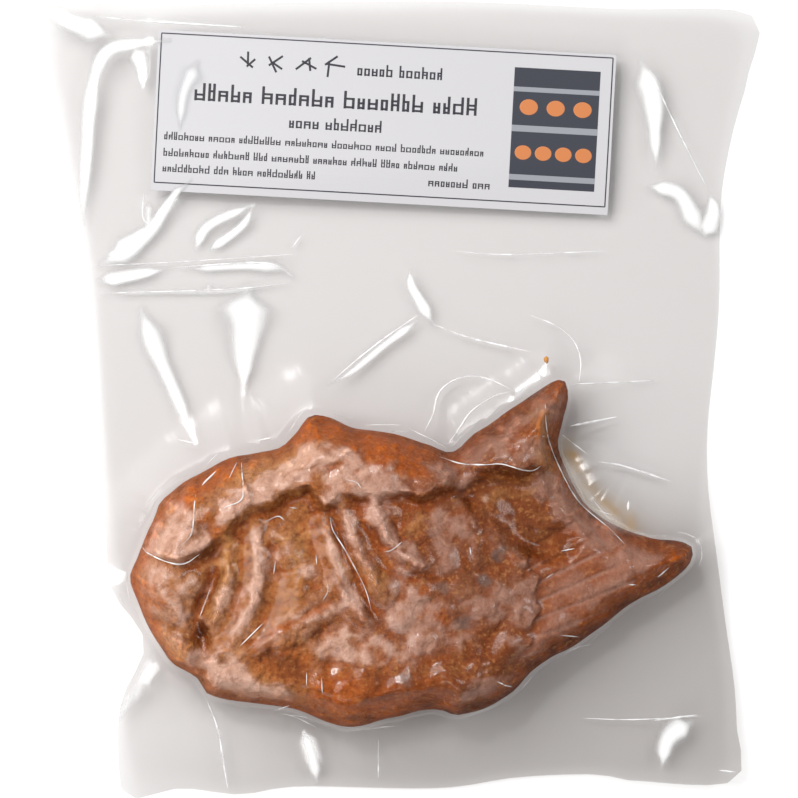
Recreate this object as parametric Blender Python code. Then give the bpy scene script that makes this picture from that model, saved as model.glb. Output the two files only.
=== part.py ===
"""A frozen taiyaki, a fish-shaped filled cake, sealed in a clear vacuum bag with a paper label.

Metres, +Z up. The pack lies flat on the plane z = 0 with the shown side up, the cake's nose
towards -X and the bag's mouth towards +Y. The origin is under the middle of the bag.

The cake, the bag's film and the label are one solid each. The film is drawn so tightly over the
cake that its own thickness there is lost in the crust's surface, so the bag's solid is the film
all round the cake, from the seam of the cake out to the bag's edge.
"""

import math

import bmesh
import bpy
import numpy as np
from mathutils import Vector, noise
from mathutils.geometry import delaunay_2d_cdt

# Bag
BAG_WIDTH = 0.180
BAG_LENGTH = 0.200
FILM_THICKNESS = 0.0008
FILM_GAP = 0.00035
FILM_FALL = 0.010
FILM_FALL_POWER = 1.3
FILM_REST = 0.0010
WELD_RISE = 0.0004
WELD_BAND = (0.0275, 0.0360)
WELD_EDGE = 0.0006

# Waves of the loose film: rise, length and place along X and Y, share left in the pocket, and
# how far from the cake they start and are full
RIPPLE_RISE = 0.0011
RIPPLE_LENGTH = (0.110, 0.151)
RIPPLE_PLACE = (-0.0157, 0.0096)
RIPPLE_IN_POCKET = 0.25
RIPPLE_START = (0.006, 0.030)
# Corners that curl up: middle, reach, rise
FILM_CURLS = (
    ((-0.088, 0.098), 0.022, 0.0060),
    ((0.088, 0.094), 0.020, 0.0045),
    ((-0.070, -0.098), 0.018, 0.0050),
    ((0.086, -0.094), 0.018, 0.0040),
)
# The pocket that holds the label: where it starts and is full along Y, its rise, and the share,
# length and place along X of the wave in it
POCKET_SPAN = (0.036, 0.060)
POCKET_RISE = 0.0016
POCKET_WAVE = (0.8, 0.201, -0.012)

# Cake
CAKE_LENGTH = 0.140
CAKE_HEIGHT = 0.0865
CAKE_MIDDLE = (0.0030, -0.0386)
SEAM_LEVEL = 0.0065
SEAM_EDGE = 0.0012
SHOULDER = 0.0095
SHOULDER_POWER = 2.3
BODY_RISE = 0.0118
# The fullest part of the flank: middle, half sizes, rise
CROWN = ((-0.015, -0.046), (0.042, 0.030), 0.0032)
# The flat that the cake froze on: middle, half sizes
REST_PATCH = ((-0.006, -0.046), (0.034, 0.017))
UNDERSIDE_RELIEF = 0.35

# Label
LABEL_LENGTH = 0.1145
LABEL_HEIGHT = 0.0400
LABEL_THICKNESS = 0.0005
LABEL_MIDDLE = (-0.0040, 0.0690)
LABEL_TILT = math.radians(-3.1)
LABEL_GAP = 0.0003

# Mesh spacing
CAKE_STEP = 0.0024
CAKE_RINGS = (0.0006, 0.0019)
FILM_STEP = 0.0060
LABEL_STEP = 0.0060
OUTLINE_STEP = 0.0021
BAG_EDGE_STEP = 0.0050

# The shapes as drawn from above, in metres from the middle of the bag
CAKE_OUTLINE = (
    (-0.0668, -0.0438), (-0.0649, -0.0394), (-0.0609, -0.0291), (-0.0585, -0.0247),
    (-0.0507, -0.0191), (-0.0419, -0.0146), (-0.0306, -0.0125), (-0.0262, -0.0090),
    (-0.0223, -0.0044), (-0.0179, -0.0044), (-0.0115, -0.0071), (0.0003, -0.0093),
    (0.0071, -0.0117), (0.0130, -0.0131), (0.0198, -0.0081), (0.0277, -0.0027),
    (0.0340, 0.0019), (0.0375, 0.0042), (0.0409, 0.0046), (0.0417, 0.0012),
    (0.0406, -0.0056), (0.0394, -0.0110), (0.0419, -0.0193), (0.0463, -0.0262),
    (0.0541, -0.0316), (0.0629, -0.0348), (0.0708, -0.0358), (0.0727, -0.0381),
    (0.0712, -0.0418), (0.0659, -0.0462), (0.0561, -0.0518), (0.0448, -0.0604),
    (0.0375, -0.0642), (0.0326, -0.0678), (0.0277, -0.0730), (0.0218, -0.0769),
    (0.0149, -0.0786), (0.0086, -0.0771), (-0.0037, -0.0797), (-0.0115, -0.0817),
    (-0.0184, -0.0805), (-0.0252, -0.0771), (-0.0370, -0.0756), (-0.0472, -0.0734),
    (-0.0502, -0.0697), (-0.0556, -0.0663), (-0.0595, -0.0614), (-0.0634, -0.0546),
    (-0.0658, -0.0487),
)
BAG_OUTLINE = (
    (-0.0897, 0.0979), (-0.0651, 0.0984), (0.0076, 0.0997), (0.0553, 0.0979),
    (0.0894, 0.0962), (0.0891, 0.0811), (0.0854, 0.0673), (0.0824, 0.0498),
    (0.0821, 0.0247), (0.0809, 0.0097), (0.0791, -0.0079), (0.0794, -0.0255),
    (0.0831, -0.0530), (0.0856, -0.0706), (0.0861, -0.0806), (0.0854, -0.0952),
    (0.0603, -0.0954), (0.0503, -0.0939), (0.0302, -0.0947), (0.0102, -0.0974),
    (-0.0250, -0.0969), (-0.0400, -0.0989), (-0.0550, -0.0972), (-0.0681, -0.0994),
    (-0.0706, -0.0894), (-0.0701, -0.0756), (-0.0638, -0.0606), (-0.0721, -0.0480),
    (-0.0736, -0.0380), (-0.0751, -0.0079), (-0.0776, 0.0272), (-0.0801, 0.0448),
    (-0.0851, 0.0673),
)

# Raised or sunken plates of the crust: outline from above, width of the edge, rise
BACK_RIM = (
    ((-0.0636, -0.0369), (-0.0540, -0.0400), (-0.0486, -0.0380), (-0.0416, -0.0320),
     (-0.0368, -0.0272), (-0.0319, -0.0251), (-0.0271, -0.0218), (-0.0218, -0.0208),
     (-0.0180, -0.0255), (-0.0143, -0.0218), (-0.0060, -0.0224), (0.0001, -0.0207),
     (0.0045, -0.0245), (0.0114, -0.0218), (0.0130, -0.0186), (0.0100, -0.0144),
     (0.0200, 0.0050), (-0.0300, 0.0100), (-0.0600, 0.0000), (-0.0750, -0.0300)),
    0.0044, 0.0046)
UPPER_LOBE = (
    ((0.0080, -0.0120), (0.0120, -0.0152), (0.0208, -0.0164), (0.0304, -0.0176),
     (0.0357, -0.0158), (0.0352, -0.0060), (0.0368, 0.0040), (0.0300, 0.0150),
     (0.0050, 0.0050)),
    0.0030, 0.0040)
TAIL_HOLLOW = (
    ((0.0150, -0.0230), (0.0200, -0.0200), (0.0330, -0.0215), (0.0365, -0.0270),
     (0.0440, -0.0345), (0.0410, -0.0385), (0.0300, -0.0380), (0.0250, -0.0320)),
    0.0040, -0.0030)
PLATES = (BACK_RIM, UPPER_LOBE, TAIL_HOLLOW)

# Swellings and folds of the crust: route from above, half width, rise
NOSE = (((-0.0640, -0.0480), (-0.0625, -0.0510)), 0.0040, 0.0020)
CHEEK = (((-0.0580, -0.0440), (-0.0535, -0.0470)), 0.0055, 0.0030)
JAW = (((-0.0590, -0.0585), (-0.0535, -0.0640)), 0.0052, 0.0032)
BELLY_RIM = (
    ((-0.0457, -0.0700), (-0.0345, -0.0720), (-0.0172, -0.0745), (0.0001, -0.0735),
     (0.0125, -0.0715)), 0.0070, 0.0028)
ANAL_FIN = (((0.0169, -0.0732), (0.0257, -0.0702), (0.0335, -0.0653)), 0.0040, 0.0016)
TAIL_BACK_EDGE = (
    ((0.0384, 0.0012), (0.0370, -0.0076), (0.0384, -0.0174), (0.0453, -0.0262),
     (0.0561, -0.0350), (0.0688, -0.0389)), 0.0026, 0.0020)
TAIL_LOWER_EDGE = (((0.0335, -0.0609), (0.0482, -0.0556), (0.0659, -0.0458)), 0.0026, 0.0018)
SWELLINGS = (
    NOSE, CHEEK, JAW, BELLY_RIM, ANAL_FIN, TAIL_BACK_EDGE, TAIL_LOWER_EDGE,
)
MOUTH_FOLD = (((-0.0669, -0.0444), (-0.0588, -0.0509)), 0.0012, -0.0014)
JAW_FOLD = (((-0.0647, -0.0546), (-0.0570, -0.0560), (-0.0491, -0.0594)), 0.0016, -0.0022)
GILL = (
    ((-0.0459, -0.0433), (-0.0491, -0.0546), (-0.0481, -0.0594), (-0.0486, -0.0664)),
    0.0018, -0.0038)
GILL_PLATES = (
    (((-0.0427, -0.0347), (-0.0416, -0.0433), (-0.0443, -0.0514), (-0.0475, -0.0541)),
     0.0021, 0.0020),
    (((-0.0357, -0.0310), (-0.0341, -0.0406), (-0.0352, -0.0487), (-0.0395, -0.0562),
      (-0.0427, -0.0605)), 0.0019, 0.0024),
    (((-0.0281, -0.0350), (-0.0232, -0.0428), (-0.0252, -0.0487)), 0.0026, 0.0016),
)
PECTORAL_FIN = (((-0.0385, -0.0620), (-0.0290, -0.0575), (-0.0207, -0.0514)), 0.0042, 0.0022)
FLANK_FOLDS = (
    (((-0.0184, -0.0300), (-0.0135, -0.0467), (-0.0090, -0.0530)), 0.0020, 0.0019),
    (((-0.0139, -0.0262), (-0.0095, -0.0389), (-0.0047, -0.0467)), 0.0020, 0.0022),
    (((-0.0066, -0.0262), (-0.0017, -0.0360), (0.0051, -0.0409)), 0.0020, 0.0020),
)
FOLDS = (MOUTH_FOLD, JAW_FOLD, GILL, *GILL_PLATES, PECTORAL_FIN, *FLANK_FOLDS)

# Scales: dented domes at the crossings of a slanted grid over the rear half of the flank
SCALE_ORIGIN = (-0.0146, -0.0621)
SCALE_STEPS = ((0.0102, 0.0005), (0.0050, 0.0076))
SCALE_COUNTS = (range(-2, 6), range(-2, 6))
SCALE_RADIUS = 0.0036
SCALE_RISE = 0.0017
SCALE_DENT = 0.45
SCALE_FIELD = ((0.0090, -0.0500), (0.0275, 0.0225))

# Tail fan: rays from the tail's root towards its lower tip, a step below the flank's end
FAN_HUB = (-0.0572, -0.0895)
FAN_ROOT = 0.1022
FAN_ROOT_BEND = 0.0115
FAN_REACH = 0.0330
FAN_RAYS = 5.0
FAN_SPREAD = (math.radians(16.5), math.radians(30.5))
FAN_RISE = 0.0009
FAN_SCALLOP = 0.0012
FAN_STEP = 0.0014

# Unevenness of the crust: size of its bumps, depth
UNEVEN = (0.0065, 0.0009)
RELIEF_START = (0.0010, 0.0055)

CRUST = (0.56, 0.24, 0.10, 1.0)
FILM = (0.86, 0.86, 0.85, 0.35)
PAPER = (0.86, 0.86, 0.88, 1.0)


def clear_scene():
    """Removes whatever the file holds."""
    for thing in list(bpy.data.objects):
        bpy.data.objects.remove(thing)


def material(name, colour, roughness):
    """A Principled material of one colour."""
    made = bpy.data.materials.new(name)
    made.use_nodes = True
    shader = made.node_tree.nodes["Principled BSDF"]
    shader.inputs["Base Color"].default_value = colour
    shader.inputs["Roughness"].default_value = roughness
    shader.inputs["Metallic"].default_value = 0.0
    shader.inputs["Alpha"].default_value = colour[3]
    return made


def smooth_step(low, high, value):
    """0 below low, 1 above high, and a smooth rise between them."""
    share = np.clip((value - low) / (high - low), 0.0, 1.0)
    return share * share * (3.0 - 2.0 * share)


def closed_curve(points, step):
    """Points a step apart along a smooth closed curve through the given ones."""
    points = np.array(points)
    before, after = np.roll(points, 1, 0), np.roll(points, -1, 0)
    further = np.roll(points, -2, 0)
    shares = np.linspace(0, 1, 12, endpoint=False)[:, None, None]
    fine = 0.5 * (
        2 * points
        + (after - before) * shares
        + (2 * before - 5 * points + 4 * after - further) * shares**2
        + (3 * points - before - 3 * after + further) * shares**3
    )
    fine = fine.transpose(1, 0, 2).reshape(-1, 2)
    closed = np.vstack([fine, fine[:1]])
    run = np.concatenate([[0], np.cumsum(np.linalg.norm(np.diff(closed, axis=0), axis=1))])
    places = np.linspace(0, run[-1], int(run[-1] / step), endpoint=False)
    return np.column_stack([np.interp(places, run, closed[:, axis]) for axis in (0, 1)])


def fitted(points, size, middle):
    """The points scaled and moved so that their box has this size and middle."""
    low, high = points.min(0), points.max(0)
    return (points - (low + high) / 2) / (high - low) * np.array(size) + np.array(middle)


def distance_to_route(places, route, closed=False):
    """How far each place is from a line through the route's points."""
    starts = np.array(route, float)
    ends = np.roll(starts, -1, 0)
    if not closed:
        starts, ends = starts[:-1], ends[:-1]
    nearest = np.full(len(places), np.inf)
    for start, end in zip(starts, ends):
        along = end - start
        share = np.clip((places - start) @ along / (along @ along), 0, 1)
        gap = places - start - share[:, None] * along
        nearest = np.minimum(nearest, np.hypot(*gap.T))
    return nearest


def is_inside(places, outline):
    """True for each place inside the closed outline."""
    x, y = places.T
    inside = np.zeros(len(places), bool)
    for (ax, ay), (bx, by) in zip(outline, np.roll(outline, -1, 0)):
        if ay != by:
            crosses = (ay > y) != (by > y)
            inside ^= crosses & (x < (bx - ax) * (y - ay) / (by - ay) + ax)
    return inside


def swelling(places, route, half_width, rise):
    """A soft rounded ridge, or a groove where rise is negative, along the route."""
    return rise * np.exp(-((distance_to_route(places, route) / half_width) ** 2))


def plate(places, outline, edge, rise):
    """A raised region, or a sunken one where rise is negative, with a rounded edge."""
    side = np.where(is_inside(places, outline), 1.0, -1.0)
    depth = side * distance_to_route(places, outline, closed=True)
    return rise * smooth_step(-0.35 * edge, edge, depth)


def uneven(places):
    """Gentle unevenness all over the crust."""
    size, depth = UNEVEN
    return depth * np.array([noise.noise(Vector((x / size, y / size, 3.0))) for x, y in places])


def scales(places):
    """Rows of domes, each with a dent in its middle."""
    middle, half_sizes = SCALE_FIELD
    field = smooth_step(1.15, 0.80, np.hypot(*((places - middle) / half_sizes).T))
    rise = np.zeros(len(places))
    for column in SCALE_COUNTS[0]:
        for row in SCALE_COUNTS[1]:
            centre = np.array(SCALE_ORIGIN) + np.array([column, row]) @ np.array(SCALE_STEPS)
            away = np.hypot(*(places - centre).T) / SCALE_RADIUS
            dome = np.exp(-(away**4)) - SCALE_DENT * np.exp(-((away * 2.6) ** 2))
            rise = np.maximum(rise, dome)
    return SCALE_RISE * rise * field


def tail_fan(places):
    """Rays of the tail's lower lobe, a step below the flank's scalloped end."""
    spoke = places - np.array(FAN_HUB)
    reach, turn = np.hypot(*spoke.T), np.arctan2(spoke[:, 1], spoke[:, 0])
    share = (turn - FAN_SPREAD[0]) / (FAN_SPREAD[1] - FAN_SPREAD[0])
    within = smooth_step(-0.12, 0.05, share) * smooth_step(1.10, 0.95, share)
    wave = np.cos(share * FAN_RAYS * 2 * math.pi)
    root = FAN_ROOT - FAN_ROOT_BEND * (1.0 - np.clip(share, 0, 1)) ** 2
    past_root = smooth_step(-0.0012, 0.0012, reach + FAN_SCALLOP * wave - root)
    fade = smooth_step(FAN_REACH, FAN_REACH * 0.6, reach - root)
    return within * past_root * (FAN_RISE * wave * fade - FAN_STEP)


def relief(places):
    """What the mould and the vacuum left on the flank, above or below its plain surface."""
    total = scales(places) + tail_fan(places) + uneven(places)
    for fold in FOLDS:
        total += swelling(places, *fold)
    return total


def shoulder(rim):
    """How much of the crust's rise is reached this far in from the seam."""
    return 1 - (1 - np.clip(rim / SHOULDER, 0, 1)) ** SHOULDER_POWER


def crust_above(places, rim):
    """Height of the cake's upper surface."""
    middle, half_sizes, crown = CROWN
    rise = BODY_RISE + crown * np.exp(-np.sum(((places - middle) / half_sizes) ** 2, axis=1))
    for form in PLATES:
        rise += plate(places, *form)
    for form in SWELLINGS:
        rise += swelling(places, *form)
    fine = relief(places) * smooth_step(*RELIEF_START, rim)
    return SEAM_LEVEL + SEAM_EDGE / 2 + rise * shoulder(rim) + fine


def crust_below(places, rim):
    """Height of the cake's underside, pressed flat in the middle where it froze on a tray."""
    middle, half_sizes = REST_PATCH
    away = np.hypot(*((places - middle) / half_sizes).T)
    hollow = UNDERSIDE_RELIEF * (relief(places) + SCALE_RISE + FAN_STEP)
    top = SEAM_LEVEL - SEAM_EDGE / 2
    return np.maximum(top + shoulder(rim) * (hollow * smooth_step(1.0, 1.6, away) - top), 0.0)


def film_level(places, away):
    """Height of the middle of the film, which falls from the cake's seam to the table."""
    x, y = places.T
    hang = (SEAM_LEVEL - FILM_REST) * np.exp(-((away / FILM_FALL) ** FILM_FALL_POWER))
    in_pocket = smooth_step(*POCKET_SPAN, y)
    turn_x, turn_y = 2 * math.pi * ((places - RIPPLE_PLACE) / RIPPLE_LENGTH).T
    loose = RIPPLE_RISE * np.sin(turn_x) * np.cos(turn_y)
    loose *= 1 - (1 - RIPPLE_IN_POCKET) * in_pocket
    for middle, reach, curl in FILM_CURLS:
        loose += curl * np.exp(-np.hypot(*(places - middle).T) / reach)
    share, length, crest = POCKET_WAVE
    pocket = POCKET_RISE * in_pocket * (1 + share * np.cos(2 * math.pi * (x - crest) / length))
    level = hang + FILM_REST + loose * smooth_step(*RIPPLE_START, away) + pocket
    return np.maximum(level, FILM_THICKNESS / 2)


def in_weld(places):
    """1 on the welded band that closes the bag above the cake, 0 off it."""
    y = places[:, 1]
    low, high = WELD_BAND
    rise = smooth_step(low - WELD_EDGE, low + WELD_EDGE, y)
    return rise * smooth_step(high + WELD_EDGE, high - WELD_EDGE, y)


def outward(outline, gap):
    """The outline moved out by the gap, or in where the gap is negative."""
    along = np.roll(outline, -1, 0) - np.roll(outline, 1, 0)
    normal = np.column_stack([along[:, 1], -along[:, 0]])
    normal /= np.linalg.norm(normal, axis=1)[:, None]
    x, y = outline.T
    turn = np.sign(np.sum(x * np.roll(y, -1) - y * np.roll(x, -1)))
    return outline + normal * gap * turn


def fill_points(outlines, step, rows_wanted):
    """A staggered grid of points between the outlines, clear of them and of the wanted rows."""
    low, high = outlines[0].min(0), outlines[0].max(0)
    rows = np.arange(low[1], high[1], step * math.sqrt(0.75))
    grid = np.array([
        (x + (row % 2) * step / 2, y)
        for row, y in enumerate(rows)
        for x in np.arange(low[0], high[0], step)
    ])
    for wanted in rows_wanted:
        apart = np.abs(grid[:, None, :] - wanted[None, :, :]).max(2).min(1)
        grid = np.vstack([grid[apart > step * 0.45], wanted])
    clear = is_inside(grid, outlines[0])
    for outline in outlines[1:]:
        clear &= ~is_inside(grid, outline)
    for outline in outlines:
        clear &= distance_to_route(grid, outline, closed=True) > step * 0.55
    return grid[clear]


def flat_sheet(outlines, inner):
    """Triangles that fill the first outline and leave out the others. Returns points and faces."""
    points, edges = [], []
    for outline in outlines:
        first, count = len(points), len(outline)
        points += [Vector(place) for place in outline]
        edges += [(first + i, first + (i + 1) % count) for i in range(count)]
    points += [Vector(place) for place in inner]
    made, _, faces, *_ = delaunay_2d_cdt(points, edges, [], 1, 1e-7)
    made = np.array(made)
    middles = np.array([made[list(face)].mean(0) for face in faces])
    keep = is_inside(middles, outlines[0])
    for outline in outlines[1:]:
        keep &= ~is_inside(middles, outline)
    return made, [face for face, kept in zip(faces, keep) if kept]


def thick_object(name, points, faces, below, above, look):
    """A closed solid over a flat sheet of faces, between two heights for each of its points."""
    mesh = bmesh.new()
    lower = [mesh.verts.new((x, y, z)) for (x, y), z in zip(points, below)]
    for face in faces:
        mesh.faces.new([lower[corner] for corner in face])
    height = {(v.co.x, v.co.y): z for v, z in zip(lower, above)}
    bmesh.ops.delete(mesh, geom=[v for v in mesh.verts if not v.link_faces], context="VERTS")
    raised = bmesh.ops.extrude_face_region(mesh, geom=mesh.faces[:])["geom"]
    for vertex in raised:
        if isinstance(vertex, bmesh.types.BMVert):
            vertex.co.z = height[vertex.co.x, vertex.co.y]
    bmesh.ops.triangulate(mesh, faces=mesh.faces[:])
    bmesh.ops.recalc_face_normals(mesh, faces=mesh.faces[:])
    data = bpy.data.meshes.new(name)
    mesh.to_mesh(data)
    mesh.free()
    data.shade_smooth()
    data.set_sharp_from_angle(angle=math.radians(50))
    data.materials.append(look)
    made = bpy.data.objects.new(name, data)
    bpy.context.scene.collection.objects.link(made)
    return made


def cake_outline():
    """The cake's seam seen from above."""
    curve = closed_curve(CAKE_OUTLINE, OUTLINE_STEP)
    return fitted(curve, (CAKE_LENGTH, CAKE_HEIGHT), CAKE_MIDDLE)


def make_cake():
    """The fish: a flank with raised back, gill folds, scales and a grooved tail."""
    outline = cake_outline()
    rings = []
    for depth in CAKE_RINGS:
        ring = outward(outline, -depth)
        rings.append(ring[distance_to_route(ring, outline, closed=True) > depth * 0.95])
    inner = fill_points([outline], CAKE_STEP, [])
    clear = distance_to_route(inner, outline, closed=True) > CAKE_RINGS[-1] + CAKE_STEP * 0.5
    points, faces = flat_sheet([outline], np.vstack([*rings, inner[clear]]))
    rim = distance_to_route(points, outline, closed=True)
    return thick_object(
        "taiyaki", points, faces, crust_below(points, rim), crust_above(points, rim),
        material("crust", CRUST, 0.55),
    )


def make_bag():
    """The two films of the bag as one sheet, from the cake's seam out to the bag's edge."""
    seam = cake_outline()
    edge = fitted(closed_curve(BAG_OUTLINE, BAG_EDGE_STEP), (BAG_WIDTH, BAG_LENGTH), (0.0, 0.0))
    across = np.arange(-BAG_WIDTH / 2, BAG_WIDTH / 2, FILM_STEP)
    weld_rows = [
        np.column_stack([across, np.full(len(across), y + side * WELD_EDGE)])
        for y in WELD_BAND
        for side in (-1, 1)
    ]
    outlines = [edge, outward(seam, FILM_GAP)]
    points, faces = flat_sheet(outlines, fill_points(outlines, FILM_STEP, weld_rows))
    level = film_level(points, distance_to_route(points, seam, closed=True))
    above = level + FILM_THICKNESS / 2 + WELD_RISE * in_weld(points)
    return thick_object(
        "vacuum_bag", points, faces, level - FILM_THICKNESS / 2, above,
        material("film", FILM, 0.12),
    )


def make_label():
    """The paper label, bent as the pocket of the bag is, just above the film."""
    columns = round(LABEL_LENGTH / LABEL_STEP)
    rows = round(LABEL_HEIGHT / LABEL_STEP)
    u, v = np.meshgrid(
        np.linspace(-0.5, 0.5, columns + 1) * LABEL_LENGTH,
        np.linspace(-0.5, 0.5, rows + 1) * LABEL_HEIGHT,
    )
    turn = np.array([
        [math.cos(LABEL_TILT), math.sin(LABEL_TILT)],
        [-math.sin(LABEL_TILT), math.cos(LABEL_TILT)],
    ])
    points = np.column_stack([u.ravel(), v.ravel()]) @ turn + LABEL_MIDDLE
    wide = columns + 1
    faces = [
        (row * wide + column, row * wide + column + 1, (row + 1) * wide + column + 1,
         (row + 1) * wide + column)
        for row in range(rows)
        for column in range(columns)
    ]
    away = distance_to_route(points, cake_outline(), closed=True)
    below = film_level(points, away) + FILM_THICKNESS / 2 + LABEL_GAP
    return thick_object(
        "label", points, faces, below, below + LABEL_THICKNESS, material("paper", PAPER, 0.6)
    )


clear_scene()
make_cake()
make_bag()
make_label()
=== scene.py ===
"""A frozen fish-shaped filled cake in a clear vacuum bag, with a paper label in the bag's pocket.

Metres, +Z up, in the frame of the CAD model. The cake's nose points to -X and the bag's mouth to
+Y. The crust, the bag's two films, the label with its print and a crumb are the pieces. Heights
come from the same forms as the CAD solids, with the finer relief added.
"""

import logging
import math
import random
from dataclasses import dataclass, field
from enum import Enum

import bmesh
import bpy
import numpy as np
from mathutils import Matrix, Vector, noise


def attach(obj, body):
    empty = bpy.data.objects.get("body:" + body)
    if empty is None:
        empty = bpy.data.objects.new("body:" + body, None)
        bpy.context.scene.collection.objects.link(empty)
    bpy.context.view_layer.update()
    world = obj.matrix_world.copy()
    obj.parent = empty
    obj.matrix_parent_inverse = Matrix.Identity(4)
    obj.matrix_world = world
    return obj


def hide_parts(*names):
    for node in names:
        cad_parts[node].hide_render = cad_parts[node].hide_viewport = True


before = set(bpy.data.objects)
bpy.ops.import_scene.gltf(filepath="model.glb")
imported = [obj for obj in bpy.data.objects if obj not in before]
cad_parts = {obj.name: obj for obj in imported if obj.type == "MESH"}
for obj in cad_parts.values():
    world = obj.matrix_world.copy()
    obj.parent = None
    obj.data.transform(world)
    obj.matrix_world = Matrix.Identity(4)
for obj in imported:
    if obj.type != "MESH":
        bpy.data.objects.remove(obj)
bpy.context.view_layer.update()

BODY = "root"
# Routes are drawn in tenths of a millimetre
TENTH = 0.0001
# Straight steps from one drawn point of a curve to the next
CURVE_STEPS = 12
Route = tuple[tuple[float, float], ...]


def tenths(*places: tuple[float, float]) -> Route:
    """The places, drawn in tenths of a millimetre, in metres."""
    return tuple((x * TENTH, y * TENTH) for x, y in places)


# The cake's seam and the bag's edge as drawn from above
CAKE_SIZE = (0.140, 0.0865)
CAKE_MIDDLE = (0.0030, -0.0386)
CAKE_OUTLINE = tenths(
    (-668, -438), (-649, -394), (-609, -291), (-585, -247), (-507, -191), (-419, -146), (-306, -125),
    (-262, -90), (-223, -44), (-179, -44), (-115, -71), (3, -93), (71, -117), (130, -131), (198, -81),
    (277, -27), (340, 19), (375, 42), (409, 46), (417, 12), (406, -56), (394, -110), (419, -193),
    (463, -262), (541, -316), (629, -348), (708, -358), (727, -381), (712, -418), (659, -462),
    (561, -518), (448, -604), (375, -642), (326, -678), (277, -730), (218, -769), (149, -786),
    (86, -771), (-37, -797), (-115, -817), (-184, -805), (-252, -771), (-370, -756), (-472, -734),
    (-502, -697), (-556, -663), (-595, -614), (-634, -546), (-658, -487),
)
BAG_SIZE = (0.180, 0.200)
BAG_OUTLINE = tenths(
    (-897, 979), (-651, 984), (76, 997), (553, 979), (894, 962), (891, 811), (854, 673), (824, 498),
    (821, 247), (809, 97), (791, -79), (794, -255), (831, -530), (856, -706), (861, -806), (854, -952),
    (603, -954), (503, -939), (302, -947), (102, -974), (-250, -969), (-400, -989), (-550, -972),
    (-681, -994), (-706, -894), (-701, -756), (-638, -606), (-721, -480), (-736, -380), (-751, -79),
    (-776, 272), (-801, 448), (-851, 673),
)


class Tone(Enum):
    """The tones that the crust turns to. Bare crust takes no bloom, and dusk, a painted shade, dulls
    the bloom towards the tail. Gold also holds painted light, and umber painted shade.
    """

    BLOOM = "bloom"
    GOLD_AND_PAINTED_LIGHT = "gold_and_painted_light"
    EMBER = "ember"
    UMBER_AND_PAINTED_SHADE = "umber_and_painted_shade"
    ASH = "ash"
    BARE = "bare"
    PAINTED_SHADE_DUSK = "painted_shade_dusk"


def smooth_step(low: float, high: float, value: np.ndarray) -> np.ndarray:
    """0 below low, 1 above high, and a smooth rise between them."""
    share = np.clip((value - low) / (high - low), 0.0, 1.0)
    return share * share * (3.0 - 2.0 * share)


def curve(points: Route, step: float, closed: bool) -> np.ndarray:
    """Points a step apart along a smooth curve.

    Args:
        points: what the curve passes through.
        step: the distance between two of its points, in metres.
        closed: whether it comes back to its start.

    Returns:
        The curve's points, one in each row.
    """
    drawn = np.array(points, float)
    if not closed:
        drawn = np.vstack([2 * drawn[0] - drawn[1], drawn, 2 * drawn[-1] - drawn[-2]])
    before, after, further = (np.roll(drawn, turn, 0) for turn in (1, -1, -2))
    shares = np.linspace(0, 1, CURVE_STEPS, endpoint=False)[:, None, None]
    fine = 0.5 * (
        2 * drawn
        + (after - before) * shares
        + (2 * before - 5 * drawn + 4 * after - further) * shares**2
        + (3 * drawn - before - 3 * after + further) * shares**3
    )
    fine = fine.transpose(1, 0, 2)
    fine = fine.reshape(-1, 2) if closed else fine[1:-2].reshape(-1, 2)
    fine = np.vstack([fine, fine[:1] if closed else drawn[-2:-1]])
    run = np.concatenate([[0], np.cumsum(np.linalg.norm(np.diff(fine, axis=0), axis=1))])
    places = np.linspace(0, run[-1], max(int(run[-1] / step), 2), endpoint=not closed)
    return np.column_stack([np.interp(places, run, fine[:, axis]) for axis in (0, 1)])


def fitted(points: np.ndarray, size: tuple[float, float], middle: tuple[float, float]) -> np.ndarray:
    """The points scaled and moved so that their box has this size and middle."""
    low, high = points.min(0), points.max(0)
    return (points - (low + high) / 2) / (high - low) * np.array(size) + np.array(middle)


def nearest_on(places: np.ndarray, route: np.ndarray, closed: bool) -> tuple[np.ndarray, ...]:
    """Measures each place against a line through the route's points.

    Args:
        places: one place in each row.
        route: the line's points.
        closed: whether the line comes back to its start.

    Returns:
        How far each place is from the line, the nearest point on it, and the share of the line's
        points that lie before that point.
    """
    starts, ends = route, np.roll(route, -1, 0)
    if not closed:
        starts, ends = starts[:-1], ends[:-1]
    gap = np.full(len(places), np.inf)
    nearest, part = np.zeros((len(places), 2)), np.zeros(len(places))
    for number, (start, end) in enumerate(zip(starts, ends)):
        along = end - start
        share = np.clip((places - start) @ along / (along @ along), 0, 1)
        point = start + share[:, None] * along
        away = np.hypot(*(places - point).T)
        closer = away < gap
        gap[closer], nearest[closer] = away[closer], point[closer]
        part[closer] = (number + share[closer]) / len(starts)
    return gap, nearest, part


def is_inside(places: np.ndarray, outline: np.ndarray) -> np.ndarray:
    """True for each place inside the closed outline."""
    x, y = places.T
    inside = np.zeros(len(places), bool)
    for (ax, ay), (bx, by) in zip(outline, np.roll(outline, -1, 0)):
        if ay != by:
            inside ^= ((ay > y) != (by > y)) & (x < (bx - ax) * (y - ay) / (by - ay) + ax)
    return inside


def bumps(places: np.ndarray, size: float, pattern: float) -> np.ndarray:
    """Smooth unevenness from about -1 to 1, with bumps of this size."""
    return np.array([noise.noise(Vector((x / size, y / size, pattern))) for x, y in places])


def layered(places: np.ndarray, layers: tuple) -> np.ndarray:
    """The sum of layers of bumps, each with its height, the bumps' size and its pattern."""
    return sum(height * bumps(places, size, pattern) for height, size, pattern in layers)


def patchy(places: np.ndarray, level: float, *layer: float) -> np.ndarray:
    """A level with bumps on it, given by their height, size and pattern."""
    return level + layered(places, (layer,))


def strayed(places: np.ndarray, reach: float, size: float, patterns: tuple) -> np.ndarray:
    """The places moved by up to about a reach, in bumps of this size."""
    return places + reach * np.column_stack([bumps(places, size, number) for number in patterns])


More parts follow.
